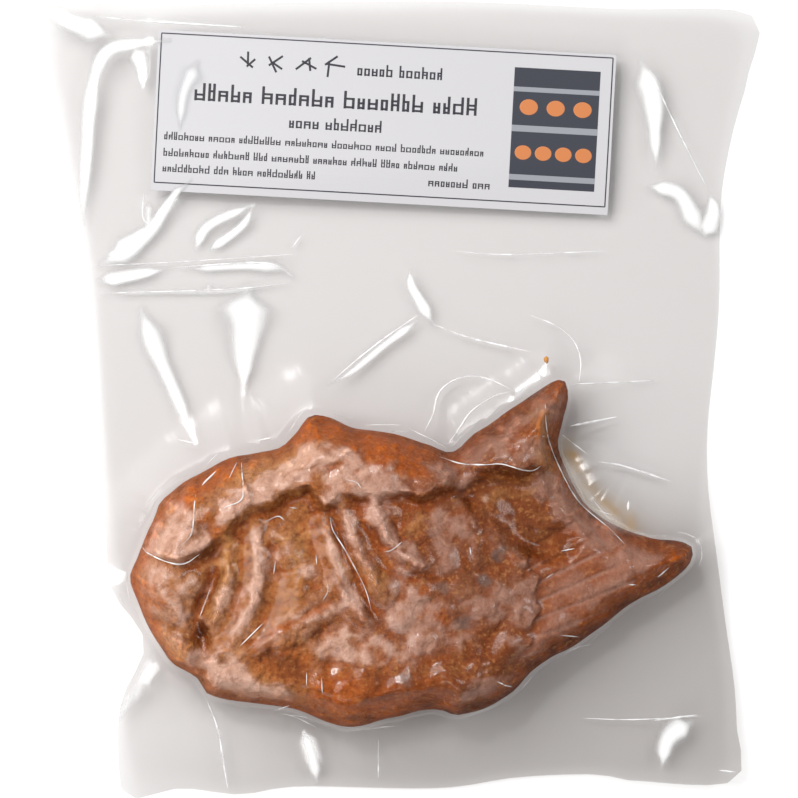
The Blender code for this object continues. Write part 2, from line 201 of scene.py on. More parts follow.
@dataclass(frozen=True)
class Grid:
    """A regular grid of places seen from above, which heights are worked out on."""

    low: tuple[float, float]
    high: tuple[float, float]
    step: float

    @property
    def counts(self) -> tuple[int, int]:
        """The number of steps along X and Y."""
        return tuple(round((high - low) / self.step) for low, high in zip(self.low, self.high))

    def places(self) -> np.ndarray:
        """Every place of the grid, one in each row."""
        across, up = (
            np.linspace(low, high, count + 1)
            for low, high, count in zip(self.low, self.high, self.counts)
        )
        x, y = np.meshgrid(across, up)
        return np.column_stack([x.ravel(), y.ravel()])

    def shaped(self, values: np.ndarray) -> np.ndarray:
        """The values as rows along X, one row for each step along Y."""
        columns, rows = self.counts
        return values.reshape(rows + 1, columns + 1)

    def look_up(self, values: np.ndarray, places: np.ndarray) -> np.ndarray:
        """The values at other places, read between the grid's own."""
        table = self.shaped(values)
        columns, rows = self.counts
        span = np.array(self.high) - np.array(self.low)
        at = (places - np.array(self.low)) / span * np.array([columns, rows])
        at = np.clip(at, 0, np.array([columns, rows]) - 1e-6)
        column, row = at.astype(int).T
        u, v = (at - at.astype(int)).T
        near = table[row, column] * (1 - u) + table[row, column + 1] * u
        far = table[row + 1, column] * (1 - u) + table[row + 1, column + 1] * u
        return near * (1 - v) + far * v

    def blurred(self, values: np.ndarray, reach: float) -> np.ndarray:
        """The values evened out over about this reach."""
        turns = max(1, round((reach / self.step) ** 2))
        table = self.shaped(values).copy()
        for _ in range(turns):
            for axis in (0, 1):
                edge = [(1, 1) if side == axis else (0, 0) for side in (0, 1)]
                wide = np.pad(table, edge, mode="edge")
                ahead, behind = np.roll(wide, -1, axis), np.roll(wide, 1, axis)
                inner = tuple(slice(1, -1) if side == axis else slice(None) for side in (0, 1))
                table = (wide * 0.5 + (ahead + behind) * 0.25)[inner]
        return table.ravel()


@dataclass(frozen=True)
class Swelling:
    """A soft rounded ridge along a route, or a groove where its rise is negative."""

    route: Route
    half_width: float
    rise: float

    def height(self, places: np.ndarray) -> np.ndarray:
        """The rise at each place."""
        away, *_ = nearest_on(places, np.array(self.route), closed=False)
        return self.rise * np.exp(-((away / self.half_width) ** 2))


def ridges(*rows: tuple) -> tuple[Swelling, ...]:
    """Swellings of rows that hold the half width, rise and route in tenths of a millimetre."""
    return tuple(
        Swelling(tenths(*route), half_width * TENTH, rise * TENTH)
        for half_width, rise, route in rows
    )


@dataclass(frozen=True)
class Plate:
    """A raised region, or a sunken one where its rise is negative, with a rounded edge."""

    outline: Route
    edge: float
    rise: float
    # Where the edge starts and ends, in shares of its width, from outside in
    span: tuple[float, float] = (-0.80, 0.55)

    def height(self, places: np.ndarray) -> np.ndarray:
        """The rise at each place."""
        outline = np.array(self.outline)
        away, *_ = nearest_on(places, outline, closed=True)
        depth = np.where(is_inside(places, outline), away, -away)
        start, end = (share * self.edge for share in self.span)
        return self.rise * smooth_step(start, end, depth)


@dataclass(frozen=True)
class Scales:
    """Rows of dented domes at the crossings of a slanted grid over the rear of the flank."""

    origin: tuple[float, float] = (-0.0146, -0.0621)
    steps: Route = ((0.0102, 0.0005), (0.0050, 0.0076))
    columns: range = range(-2, 6)
    rows: range = range(-2, 6)
    radius: float = 0.0036
    rise: float = 0.0015
    dent: float = 0.50
    jitter: float = 0.0012
    seed: int = 11
    # The spans of the random shares of the radius, dent and rise
    shares: tuple = ((0.85, 1.25), (0.5, 1.3), (0.5, 0.9))
    middle: tuple[float, float] = (0.0090, -0.0500)
    half_sizes: tuple[float, float] = (0.0275, 0.0225)
    border: tuple[float, float] = (1.15, 0.80)
    # The dent is narrower than the dome by this factor
    dent_width: float = 2.3
    # Where the bloom lies across a scale: share of its radius, and how strong the bloom is there
    frost_line: Route = ((0.0, -1.0), (0.35, -0.5), (0.75, 1.0), (1.05, 0.3), (1.5, -0.7))
    # How ragged the bloom's rings are, and where whole patches of them are worn off
    ragged: tuple = ((0.35, 0.0024, 95.0),)
    worn: tuple = ((1.0, 0.0105, 97.0),)
    worn_span: tuple[float, float] = (-0.30, 0.35)

    def _domes(self) -> list[tuple]:
        """Each scale's centre, radius, dent and rise."""
        draw = random.Random(self.seed)
        found = []
        for column in self.columns:
            for row in self.rows:
                centre = np.array(self.origin) + np.array([column, row]) @ np.array(self.steps)
                centre += np.array([draw.uniform(-1, 1), draw.uniform(-1, 1)]) * self.jitter
                wide, dented, risen = (draw.uniform(*span) for span in self.shares)
                found.append((centre, self.radius * wide, self.dent * dented, risen))
        return found

    def cover(self, places: np.ndarray) -> np.ndarray:
        """1 on the scaled part of the flank, 0 well away from it."""
        away = np.hypot(*((places - self.middle) / self.half_sizes).T)
        return smooth_step(*self.border, away)

    def height(self, places: np.ndarray) -> np.ndarray:
        """The rise at each place."""
        total = np.zeros(len(places))
        for centre, radius, dent, rise in self._domes():
            gap = np.hypot(*(places - centre).T) / radius
            dome = np.exp(-(gap**4)) - dent * np.exp(-((gap * self.dent_width) ** 2))
            total = np.maximum(total, dome * rise)
        return self.rise * total * self.cover(places)

    def frost(self, places: np.ndarray) -> np.ndarray:
        """How the bloom lies on the scales: a pale ring on each, with a bare middle."""
        gaps = [np.hypot(*(places - centre).T) / radius for centre, radius, *_ in self._domes()]
        gap = np.min(gaps, axis=0) + layered(places, self.ragged)
        worn = smooth_step(*self.worn_span, layered(places, self.worn))
        return np.interp(gap, *zip(*self.frost_line)) * self.cover(places) * worn


@dataclass(frozen=True)
class TailFan:
    """Rays of the tail's lower lobe, a step below the flank's scalloped end."""

    hub: tuple[float, float] = (-0.0572, -0.0895)
    root: float = 0.1022
    root_bend: float = 0.0115
    reach: float = 0.0330
    # The share of that reach where the rays start to fade
    fade_start: float = 0.6
    rays: float = 6.0
    spread: tuple[float, float] = (math.radians(16.5), math.radians(30.5))
    groove: float = 0.0005
    groove_width: float = 0.12
    scallop: float = 0.0009
    scallops: float = 3.5
    step: float = 0.0014
    # Half the width of the step at the root, and the spans over which the fan's sides rise
    root_edge: float = 0.0008
    near_side: tuple[float, float] = (-0.12, 0.05)
    far_side: tuple[float, float] = (1.10, 0.95)
    # The bloom over all the fan, and how much more of it each groove has
    haze: float = 0.06
    groove_bloom: float = 0.90

    def _laid(self, places: np.ndarray) -> tuple[np.ndarray, ...]:
        """How much of the fan each place has, how near a groove it is, and the rays' strength."""
        spoke = places - np.array(self.hub)
        reach, turn = np.hypot(*spoke.T), np.arctan2(spoke[:, 1], spoke[:, 0])
        share = (turn - self.spread[0]) / (self.spread[1] - self.spread[0])
        within = smooth_step(*self.near_side, share) * smooth_step(*self.far_side, share)
        wave = np.cos(share * self.scallops * 2 * math.pi)
        root = self.root - self.root_bend * (1.0 - np.clip(share, 0, 1)) ** 2
        past = reach + self.scallop * wave - root
        past_root = smooth_step(-self.root_edge, self.root_edge, past)
        fade = smooth_step(self.reach, self.reach * self.fade_start, reach - root)
        beside = np.abs(share * self.rays - np.round(share * self.rays))
        return within * past_root, np.exp(-((beside / self.groove_width) ** 2)), fade

    def cover(self, places: np.ndarray) -> np.ndarray:
        """1 on the fan, 0 beside it."""
        return self._laid(places)[0]

    def height(self, places: np.ndarray) -> np.ndarray:
        """The rise at each place."""
        cover, groove, fade = self._laid(places)
        return cover * ((0.5 - groove) * fade * self.groove - self.step)

    def frost(self, places: np.ndarray) -> np.ndarray:
        """How the bloom lies on the fan: a thin haze, with a pale line in each groove."""
        cover, groove, fade = self._laid(places)
        return cover * (self.haze + self.groove_bloom * groove**2 * fade)


@dataclass(frozen=True)
class Dab:
    """Where the crust turns to a tone: a route, how wide round it, and how strong."""

    tone: Tone
    route: Route
    radius: float
    strength: float
    # Half the width of its soft edge: a share of the radius and a least width
    soft: tuple[float, float] = (0.45, 0.0004)

    def mask(self, places: np.ndarray, ragged: np.ndarray) -> np.ndarray:
        """The tone's strength at each place, with an edge as ragged as the given distances."""
        away, *_ = nearest_on(places, np.array(self.route), closed=False)
        share, least = self.soft
        soft = share * self.radius + least
        return self.strength * smooth_step(self.radius + soft, self.radius - soft, away + ragged)


class Value:
    """A socket of a shader tree that Python's operators work on."""

    def __init__(self, tree: "Tree", socket: bpy.types.NodeSocket) -> None:
        """Keeps the tree and the output socket."""
        self.tree = tree
        self.socket = socket

    def _maths(self, operation: str, *parts: "Value | float") -> "Value":
        """A Math node of this operation on the parts."""
        made = self.tree.node("ShaderNodeMath", {"operation": operation}, dict(enumerate(parts)))
        return self.tree.out(made, "Value")

    def __add__(self, other: "Value | float") -> "Value":
        """Self plus other."""
        return self._maths("ADD", self, other)

    __radd__ = __add__

    def __rsub__(self, other: "Value | float") -> "Value":
        """Other less self."""
        return self._maths("SUBTRACT", other, self)

    def __mul__(self, other: "Value | float") -> "Value":
        """Self times other."""
        return self._maths("MULTIPLY", self, other)

    __rmul__ = __mul__

    def __pow__(self, other: "Value | float") -> "Value":
        """Self to the power of other."""
        return self._maths("POWER", self, other)

    def between(self, low: float, high: float) -> "Value":
        """0 where self is below low, 1 above high, and a smooth rise between them."""
        made = self.tree.node(
            "ShaderNodeMapRange",
            {"interpolation_type": "SMOOTHSTEP"},
            {"Value": self, "From Min": low, "From Max": high},
        )
        return self.tree.out(made, "Result")


class Tree:
    """A material's nodes, made one call at a time."""

    def __init__(self, name: str) -> None:
        """Makes a material of this name with an empty tree."""
        self.material = bpy.data.materials.new(name)
        self.material.use_nodes = True
        self.nodes = self.material.node_tree.nodes
        self.nodes.clear()

    def node(
        self, kind: str, settings: dict | None = None, inputs: dict | None = None
    ) -> bpy.types.Node:
        """Makes a node.

        Args:
            kind: the node's type.
            settings: its own properties, which are set first.
            inputs: a value or a link for each named or numbered socket.

        Returns:
            The node.
        """
        made = self.nodes.new(kind)
        for name, value in (settings or {}).items():
            setattr(made, name, value)
        for name, value in (inputs or {}).items():
            if isinstance(value, Value):
                self.material.node_tree.links.new(value.socket, made.inputs[name])
            else:
                made.inputs[name].default_value = value
        return made

    def out(self, node: bpy.types.Node, name: str | int) -> Value:
        """One of a node's outputs."""
        return Value(self, node.outputs[name])

    def attribute(self, name: str) -> Value:
        """A number that the piece's mesh carries."""
        return self.out(self.node("ShaderNodeAttribute", {"attribute_name": name}), "Fac")

    def speckle(self, size: float, detail: float = 2.0) -> Value:
        """Noise from 0 to 1 with spots of about this size, in metres."""
        place = self.out(self.node("ShaderNodeTexCoord"), "Object")
        made = self.node(
            "ShaderNodeTexNoise", {}, {"Vector": place, "Scale": 1 / size, "Detail": detail}
        )
        return self.out(made, "Fac")

    def mix(self, share: Value, first: "Value | tuple", second: "Value | tuple") -> Value:
        """A colour between two colours."""
        made = self.node("ShaderNodeMix", {"data_type": "RGBA"}, {0: share, 6: first, 7: second})
        return self.out(made, 2)

    def bump(self, height: Value, distance: float, strength: float) -> Value:
        """A normal that fine relief of this height gives."""
        made = self.node(
            "ShaderNodeBump", {}, {"Height": height, "Distance": distance, "Strength": strength}
        )
        return self.out(made, "Normal")

    def principled(self, **inputs: "Value | float | tuple") -> Value:
        """A Principled shader. Names of sockets are written with _ for a space."""
        named = {name.replace("_", " "): value for name, value in inputs.items()}
        return self.out(self.node("ShaderNodeBsdfPrincipled", {}, named), "BSDF")

    def finish(self, surface: Value) -> bpy.types.Material:
        """Puts the shader on the material's output and returns the material."""
        self.node("ShaderNodeOutputMaterial", {}, {"Surface": surface})
        return self.material


@dataclass(frozen=True)
class CrustFinish:
    """Baked batter: orange to deep brown, frosted pale where the film touches it."""

    plain: tuple = (0.305, 0.074, 0.016, 1.0)
    bloom: tuple = (0.750, 0.460, 0.350, 1.0)
    # The dull bloom of the painted shade towards the tail
    painted_shade_dusk: tuple = (0.430, 0.240, 0.180, 1.0)
    gold_and_painted_light: tuple = (0.610, 0.282, 0.095, 1.0)
    ember: tuple = (0.480, 0.098, 0.007, 1.0)
    # Dark crust, and the colour of painted shade
    umber_and_painted_shade: tuple = (0.130, 0.032, 0.009, 1.0)
    ash: tuple = (0.170, 0.120, 0.105, 1.0)
    roughness: float = 0.55
    gloss: float = 0.06
    # The size of each kind of spots, and how finely it is broken up
    mottle: tuple[float, float] = (0.0034, 4.0)
    patch: tuple[float, float] = (0.0021, 3.0)
    grain: tuple[float, float] = (0.0006, 3.0)
    crumb: tuple[float, float] = (0.0012, 4.0)
    cloud: tuple[float, float] = (0.0085, 2.0)
    # How spots turn the crust under its tones and over them: the spots, the span of their
    # noise, the greatest share and the colour
    under_tones: tuple = (
        ("mottle", (0.45, 0.75), 0.36, "gold_and_painted_light"), ("patch", (0.55, 0.30), 0.42, "umber_and_painted_shade"),
        ("cloud", (0.52, 0.34), 0.30, "umber_and_painted_shade"), ("grain", (0.50, 0.72), 0.22, "gold_and_painted_light"),
        ("grain", (0.50, 0.28), 0.25, "umber_and_painted_shade"),
    )
    over_tones: tuple = (
        ("crumb", (0.48, 0.34), 0.42, "umber_and_painted_shade"), ("crumb", (0.54, 0.70), 0.34, "gold_and_painted_light"),
    )
    # How patchy the gold and ember are, and how mottled the bloom: a level and shares of spots
    tone_shares: tuple[float, float] = (0.36, 0.88)
    bloom_shares: tuple[float, float, float, float] = (-0.03, 1.05, 0.35, 0.55)
    # The fine relief: how much of it is patches, its depth and its strength
    relief: tuple[float, float, float] = (2.2, 0.0005, 0.55)

    def material(self) -> bpy.types.Material:
        """The crust's material."""
        tree = Tree("crust")
        spots = {
            name: tree.speckle(*getattr(self, name))
            for name in ("mottle", "patch", "grain", "crumb", "cloud")
        }

        def spotted(colour: Value | tuple, rows: tuple) -> Value:
            """The colour with the spots of each row on it."""
            for name, span, share, other in rows:
                colour = tree.mix(spots[name].between(*span) * share, colour, getattr(self, other))
            return colour

        colour = spotted(self.plain, self.under_tones)
        level, share = self.tone_shares
        uneven = level + share * spots["patch"]
        # Gold holds the golden crust and painted light towards the nose
        colour = tree.mix(tree.attribute(Tone.GOLD_AND_PAINTED_LIGHT.value) * uneven, colour, self.gold_and_painted_light)
        colour = tree.mix(tree.attribute(Tone.EMBER.value) * uneven, colour, self.ember)
        # Umber holds the dark crust and painted shade
        colour = tree.mix(tree.attribute(Tone.UMBER_AND_PAINTED_SHADE.value), colour, self.umber_and_painted_shade)
        colour = spotted(colour, self.over_tones)
        level, of_mottle, of_grain, of_crumb = self.bloom_shares
        mottled = level + of_mottle * spots["mottle"]
        mottled = mottled + of_grain * spots["grain"] + of_crumb * spots["crumb"]
        # The painted shade towards the tail turns the bloom dull
        frost = tree.mix(tree.attribute(Tone.PAINTED_SHADE_DUSK.value), self.bloom, self.painted_shade_dusk)
        colour = tree.mix(tree.attribute(Tone.BLOOM.value) * mottled, colour, frost)
        colour = tree.mix(tree.attribute(Tone.ASH.value), colour, self.ash)
        of_patch, depth, strength = self.relief
        normal = tree.bump(spots["grain"] + of_patch * spots["patch"], depth, strength)
        return tree.finish(
            tree.principled(
                Base_Color=colour, Roughness=self.roughness, Specular_IOR_Level=self.gloss,
                Normal=normal,
            )
        )


@dataclass(frozen=True)
class FilmFinish:
    """Thin clear plastic film: see-through, shiny, milky where it is creased or stretched. Its milk
    holds painted glare streaks, and a painted shade darkens it towards one corner and beside the cake.
    """

    tint: tuple = (0.868, 0.861, 0.858, 1.0)
    # The darker tint of the painted shade and painted contact shadow
    painted_shade_tint: tuple = (0.720, 0.707, 0.700, 1.0)
    batter: tuple = (0.890, 0.665, 0.390, 1.0)
    shine: float = 0.045
    edge_on: float = 0.07
    # The milk's strength: partly creased, whitened film and partly painted glare of the lights
    milk: float = 0.95
    mirror: tuple = (0.92, 0.92, 0.92, 1.0)
    # Film milkier than this shines like paint, and clear film like a mirror
    painted: float = 0.6
    roughness: float = 0.15

    def material(self) -> bpy.types.Material:
        """The film's material."""
        tree = Tree("film")
        milk = tree.attribute("milk")
        facing = tree.out(tree.node("ShaderNodeLayerWeight", {}, {"Blend": 0.5}), "Facing")
        gloss = (self.shine + self.edge_on * facing**3) * tree.attribute("shine")
        share = gloss + self.milk * milk
        clear, painted_shade_tint, batter = (
            tree.out(tree.node("ShaderNodeBsdfTransparent", {}, {"Color": tint}), "BSDF")
            for tint in (self.tint, self.painted_shade_tint, self.batter)
        )
        # Mix in the painted shade's darker tint, then the batter stain
        for name, other in (("painted_shade", painted_shade_tint), ("stain", batter)):
            inputs = {0: tree.attribute(name), 1: clear, 2: other}
            clear = tree.out(tree.node("ShaderNodeMixShader", {}, inputs), "Shader")
        glossy = tree.principled(
            Base_Color=self.mirror, Metallic=1 - milk.between(0.0, self.painted),
            Roughness=self.roughness,
        )
        mixed = tree.node("ShaderNodeMixShader", {}, {0: share, 1: clear, 2: glossy})
        return tree.finish(tree.out(mixed, "Shader"))


@dataclass(frozen=True)
class FoldFinish:
    """Film pinched double: shinier than the flat film, and painted white as a painted glint along it.
    """

    clear: tuple = (0.97, 0.97, 0.97, 1.0)
    # The white of the painted glint, which the folds take in place of thin highlights
    painted_glint_white: tuple = (0.98, 0.98, 0.98, 1.0)
    # How white the faintest stretch of a fold is and how much whiter the strongest, the
    # stretches' length, and the span of the noise between them
    shares: tuple[float, float] = (0.24, 0.56)
    stretch: tuple[float, float] = (0.0040, 1.0)
    span: tuple[float, float] = (0.36, 0.60)
    roughness: float = 0.25

    def material(self) -> bpy.types.Material:
        """The folds' material."""
        tree = Tree("film_fold_glint")
        clear = tree.node("ShaderNodeBsdfTransparent", {}, {"Color": self.clear})
        glossy = tree.principled(Base_Color=self.painted_glint_white, Roughness=self.roughness)
        least, more = self.shares
        share = least + more * tree.speckle(*self.stretch).between(*self.span)
        mixed = tree.node(
            "ShaderNodeMixShader", {}, {0: share, 1: tree.out(clear, "BSDF"), 2: glossy}
        )
        return tree.finish(tree.out(mixed, "Shader"))


@dataclass(frozen=True)
class PlainFinish:
    """One even colour, as of paper, ink or a table top."""

    name: str
    colour: tuple
    roughness: float = 0.6

    def material(self) -> bpy.types.Material:
        """The finish's material."""
        tree = Tree(self.name)
        return tree.finish(tree.principled(Base_Color=self.colour, Roughness=self.roughness))


# A grid's places this close to an outline move on to it before the grid is cut, and those on
# the cut edge after it, in steps of the grid
SNAP_BEFORE, SNAP_AFTER = 0.5, 1.5


def trimmed(mesh: bmesh.types.BMesh, outline: np.ndarray, step: float) -> None:
    """Cuts a flat grid to an outline, whose line its edge then follows.

    Args:
        mesh: the grid.
        outline: the closed outline.
        step: the grid's spacing.
    """
    places = np.array([vertex.co.xy for vertex in mesh.verts])
    gap, nearest, _ = nearest_on(places, outline, closed=True)
    for number in np.flatnonzero(gap < SNAP_BEFORE * step):
        mesh.verts[number].co.xy = nearest[number]
    centres = np.array([face.calc_center_median().xy for face in mesh.faces])
    outside = np.flatnonzero(~is_inside(centres, outline))
    mesh.faces.ensure_lookup_table()
    bmesh.ops.delete(mesh, geom=[mesh.faces[number] for number in outside], context="FACES")
    rim = [v for v in mesh.verts if v.is_boundary]
    gap, nearest, _ = nearest_on(np.array([v.co.xy for v in rim]), outline, closed=True)
    for vertex, place, away in zip(rim, nearest, gap):
        if away < SNAP_AFTER * step:
            vertex.co.xy = place


def flat_grid(grid: Grid) -> bmesh.types.BMesh:
    """A flat mesh with a vertex at each of the grid's places."""
    mesh = bmesh.new()
    (left, front), (right, back) = grid.low, grid.high
    columns, rows = grid.counts
    spread = Matrix.Translation(((left + right) / 2, (front + back) / 2, 0.0))
    spread @= Matrix.Diagonal((right - left, back - front, 1.0, 1.0))
    bmesh.ops.create_grid(mesh, x_segments=columns, y_segments=rows, size=0.5, matrix=spread)
    mesh.verts.ensure_lookup_table()
    return mesh


def as_piece(name: str, mesh: bmesh.types.BMesh, finish: bpy.types.Material) -> bpy.types.Object:
    """Makes a smooth shaded object of a mesh, with this finish."""
    data = bpy.data.meshes.new(name)
    mesh.to_mesh(data)
    mesh.free()
    data.materials.append(finish)
    piece = bpy.data.objects.new(name, data)
    bpy.context.scene.collection.objects.link(piece)
    return piece


def corners_of(piece: bpy.types.Object) -> np.ndarray:
    """The places of a piece's vertices, one in each row."""
    found = np.zeros(len(piece.data.vertices) * 3)
    piece.data.vertices.foreach_get("co", found)
    return found.reshape(-1, 3)


def set_corners(piece: bpy.types.Object, corners: np.ndarray) -> None:
    """Moves a piece's vertices to these places."""
    piece.data.vertices.foreach_set("co", corners.ravel())
    piece.data.update()


def carry(piece: bpy.types.Object, name: str, values: np.ndarray) -> None:
    """Gives a piece's vertices a number that its finish reads."""
    made = piece.data.attributes.new(name, "FLOAT", "POINT")
    made.data.foreach_set("value", values.astype(np.float32))


# Where the crust turns to each tone: how far the tone lies to each side of a route, how
# strong it is there, and the route, in tenths of a millimetre
TONE_ROUTES: dict[Tone, tuple] = {
    Tone.BLOOM: (
        (22, 1, (
            (-618, -363), (-531, -383), (-457, -326), (-395, -259), (-340, -227), (-271, -177),
            (-217, -132), (-160, -177), (-172, -239),
        )),
        (32, 0.3, ((-618, -388), (-556, -462), (-506, -524))),
        (32, 0.9, ((-420, -672), (-340, -722), (-284, -747))),
        (15, 0.8, ((-355, -301), (-340, -400), (-353, -499), (-395, -566))),
        (22, 0.9, ((-135, -140), (-98, -202), (-61, -276), (-19, -350))),
        (42, 0.7, ((-160, -596), (-41, -612), (76, -596), (160, -596))),
        (50, 0.9, ((1, -536), (199, -524), (298, -499))),
        (50, 0.4, ((249, -598), (175, -623))),
        (27, 0.8, ((125, -400), (100, -301), (150, -326))),
        (30, 0.6, ((175, -128), (274, -53), (348, -4))),
        (25, 0.8, ((125, -177), (162, -227))),
        (27, 1, ((360, -197), (425, -290), (515, -345))),
        (30, 0.8, ((175, -722), (199, -727))),
        (12, 1, ((380, -16), (390, -103))),
        (17, 0.7, ((-539, -256), (-524, -348))),
        (62, 0.45, ((348, -499), (496, -462), (645, -400))),
        (16, 1, ((405, -10), (400, -60), (392, -110))),
        (26, 0.9, ((-132, -177), (-68, -197), (1, -227))),
        (22, 1, ((-68, -222), (-33, -271), (-16, -331))),
        (12, 1, ((-132, -279), (-120, -338))),
        (11, 0.9, ((-175, -350), (-147, -412), (-118, -474), (-103, -509))),
        (10, 0.9, ((-26, -363), (21, -350), (58, -407))),
        (16, 0.5, ((-321, -551), (-192, -521), (-135, -499))),
        (18, 0.7, ((-160, -598), (-152, -660))),
        (28, 0.8, ((165, -707), (199, -702))),
        (20, 0.8, ((-306, -375), (-308, -430))),
        (26, 0.8, ((-20, -390), (2, -462))),
        (30, 0.8, ((-495, -640), (-445, -685), (-380, -705))),
        (30, 0.6, ((-612, -310), (-568, -235))),
        (26, 1, ((-530, -300), (-565, -375))),
        (24, 0.6, ((-280, -432), (-222, -424))),
        (32, 1, ((-455, -490), (-398, -486))),
        (28, 0.6, ((250, -110), (335, -124))),
    ),
    Tone.EMBER: (
        (25, 1, ((-531, -251), (-457, -189), (-407, -165))),
        (30, 1, ((-271, -90), (-172, -66), (-48, -115), (51, -140))),
        (25, 1, ((-68, -128), (51, -177))),
        (20, 0.7, ((-667, -442), (-593, -499))),
        (52, 0.9, ((-172, -722), (-48, -751), (76, -737))),
        (26, 1, ((400, -85), (418, -150), (462, -225), (540, -290), (640, -340))),
        (24, 0.8, ((385, 35), (400, 10))),
        (26, 0.7, ((290, -110), (325, -85))),
        (10, 0.7, ((345, 0), (340, -105))),
        (42, 0.6, ((-321, -630), (-250, -660))),
        (24, 0.7, ((640, -380), (700, -375))),
        (34, 1, ((-200, -58), (-100, -92), (0, -115))),
        (26, 0.8, ((-640, -530), (-612, -580))),
        (22, 0.7, ((-462, -300), (-448, -325))),
        (22, 0.8, ((-655, -500), (-625, -570))),
        (40, 1, ((480, -560), (600, -486), (700, -400))),
        (7, 0.9, ((-162, -303), (-128, -385), (-80, -484), (-63, -526))),
        (6, 0.9, ((-88, -306), (-46, -368), (-11, -363))),
        (7, 0.6, ((-370, -598), (-271, -553), (-172, -499))),
        (12, 0.7, ((63, -469), (76, -479))),
        (12, 0.7, ((103, -534), (108, -549))),
        (14, 0.7, ((279, -390), (284, -400))),
    ),
    Tone.GOLD_AND_PAINTED_LIGHT: (
        (25, 0.8, ((-395, -189), (-308, -152), (-222, -128))),
        (25, 0.9, ((-593, -586), (-544, -635))),
        (20, 0.9, ((-425, -375), (-440, -474), (-464, -511))),
        (30, 0.5, ((-345, -499), (-246, -400), (-271, -524))),
        (30, 0.5, ((-172, -375), (-135, -400), (-73, -449))),
        (12, 0.9, ((402, -128), (459, -202))),
        (15, 0.7, ((-568, -264), (-563, -269))),
        (24, 0.9, ((345, -40), (350, -130), (370, -168))),
        (14, 0.6, ((412, -140), (440, -205), (500, -272))),
        (16, 0.7, ((-385, -345), (-392, -437), (-420, -499))),
        (30, 0.7, ((219, -227), (298, -212))),
        (22, 0.4, ((348, -350), (397, -370))),
        (18, 0.7, ((-298, -350), (-236, -323), (-256, -395))),
        (22, 0.8, ((-425, -338), (-430, -454), (-459, -524))),
        (18, 0.7, ((-591, -281), (-578, -271))),
        (26, 0.8, ((-343, -157), (-249, -157))),
        (16, 0.5, ((-33, -400), (-48, -474))),
        (16, 0.5, ((26, -326), (46, -301))),
    ),
    Tone.UMBER_AND_PAINTED_SHADE: (
        (12, 1, ((-484, -553), (-479, -563))),
        (12, 1, ((-440, -635), (-435, -643))),
        (40, 0.5, ((224, -227), (311, -288), (397, -350))),
        (14, 0.6, ((298, -667), (496, -561), (719, -388))),
        (45, 0.12, ((-172, -722), (-48, -771), (76, -747))),
        (16, 0.5, ((660, -365), (715, -370))),
        (25, 0.6, ((-321, -623), (-246, -672))),
        (15, 0.7, ((125, -784), (298, -722))),
        (40, 0.38, ((-60, -712), (60, -720), (160, -700))),
        (26, 0.5, ((40, -738), (90, -735), (152, -718))),
        (28, 0.35, ((-10, -700), (32, -708))),
        (26, 0.5, ((-492, -325), (-478, -365))),
        (9, 0.2, ((-316, -363), (-321, -437), (-331, -499))),
        (8, 0.5, ((-340, -635), (-234, -598), (-172, -553))),
        (18, 0.6, ((14, -212), (31, -222))),
    ),
    Tone.BARE: (
        (25, 1, ((400, -85), (418, -150), (462, -225), (540, -290), (640, -340))),
        (28, 0.6, ((-10, -295), (10, -310))),
        (56, 1, ((-197, -752), (-123, -732), (-48, -722), (6, -722))),
        (46, 1, ((1, -732), (100, -692), (165, -652))),
        (32, 0.9, ((-200, -58), (-100, -92), (0, -115))),
        (38, 0.45, ((122, -530), (205, -580))),
        (22, 0.6, ((-640, -530), (-612, -580))),
        (20, 0.6, ((-462, -300), (-448, -325))),
        (16, 0.7, ((-655, -500), (-625, -570))),
        (38, 1, ((480, -560), (600, -486), (700, -400))),
        (28, 1, ((199, -662), (264, -628))),
        (24, 0.9, ((-440, -331), (-370, -301), (-308, -276), (-246, -251), (-197, -271))),
        (28, 0.9, ((-340, -682), (-271, -667), (-246, -709))),
        (52, 1, ((224, -241), (298, -276), (368, -350))),
        (16, 0.8, ((-217, -212), (-177, -227))),
        (20, 0.7, ((-251, -449), (-251, -494))),
        (30, 0.9, ((-494, -239), (-457, -197), (-415, -177))),
    ),
    Tone.ASH: (
        (12, 0.6, ((234, -385), (239, -390))),
        (14, 0.6, ((162, -546), (165, -553))),
        (12, 0.6, ((11, -692), (16, -697))),
        (13, 0.6, ((103, -464), (108, -464))),
        (11, 0.6, ((204, -449), (209, -449))),
        (11, 0.6, ((162, -541), (167, -541))),
        (11, 0.6, ((234, -380), (264, -365))),
        (11, 0.6, ((9, -687), (14, -687))),
    ),
}


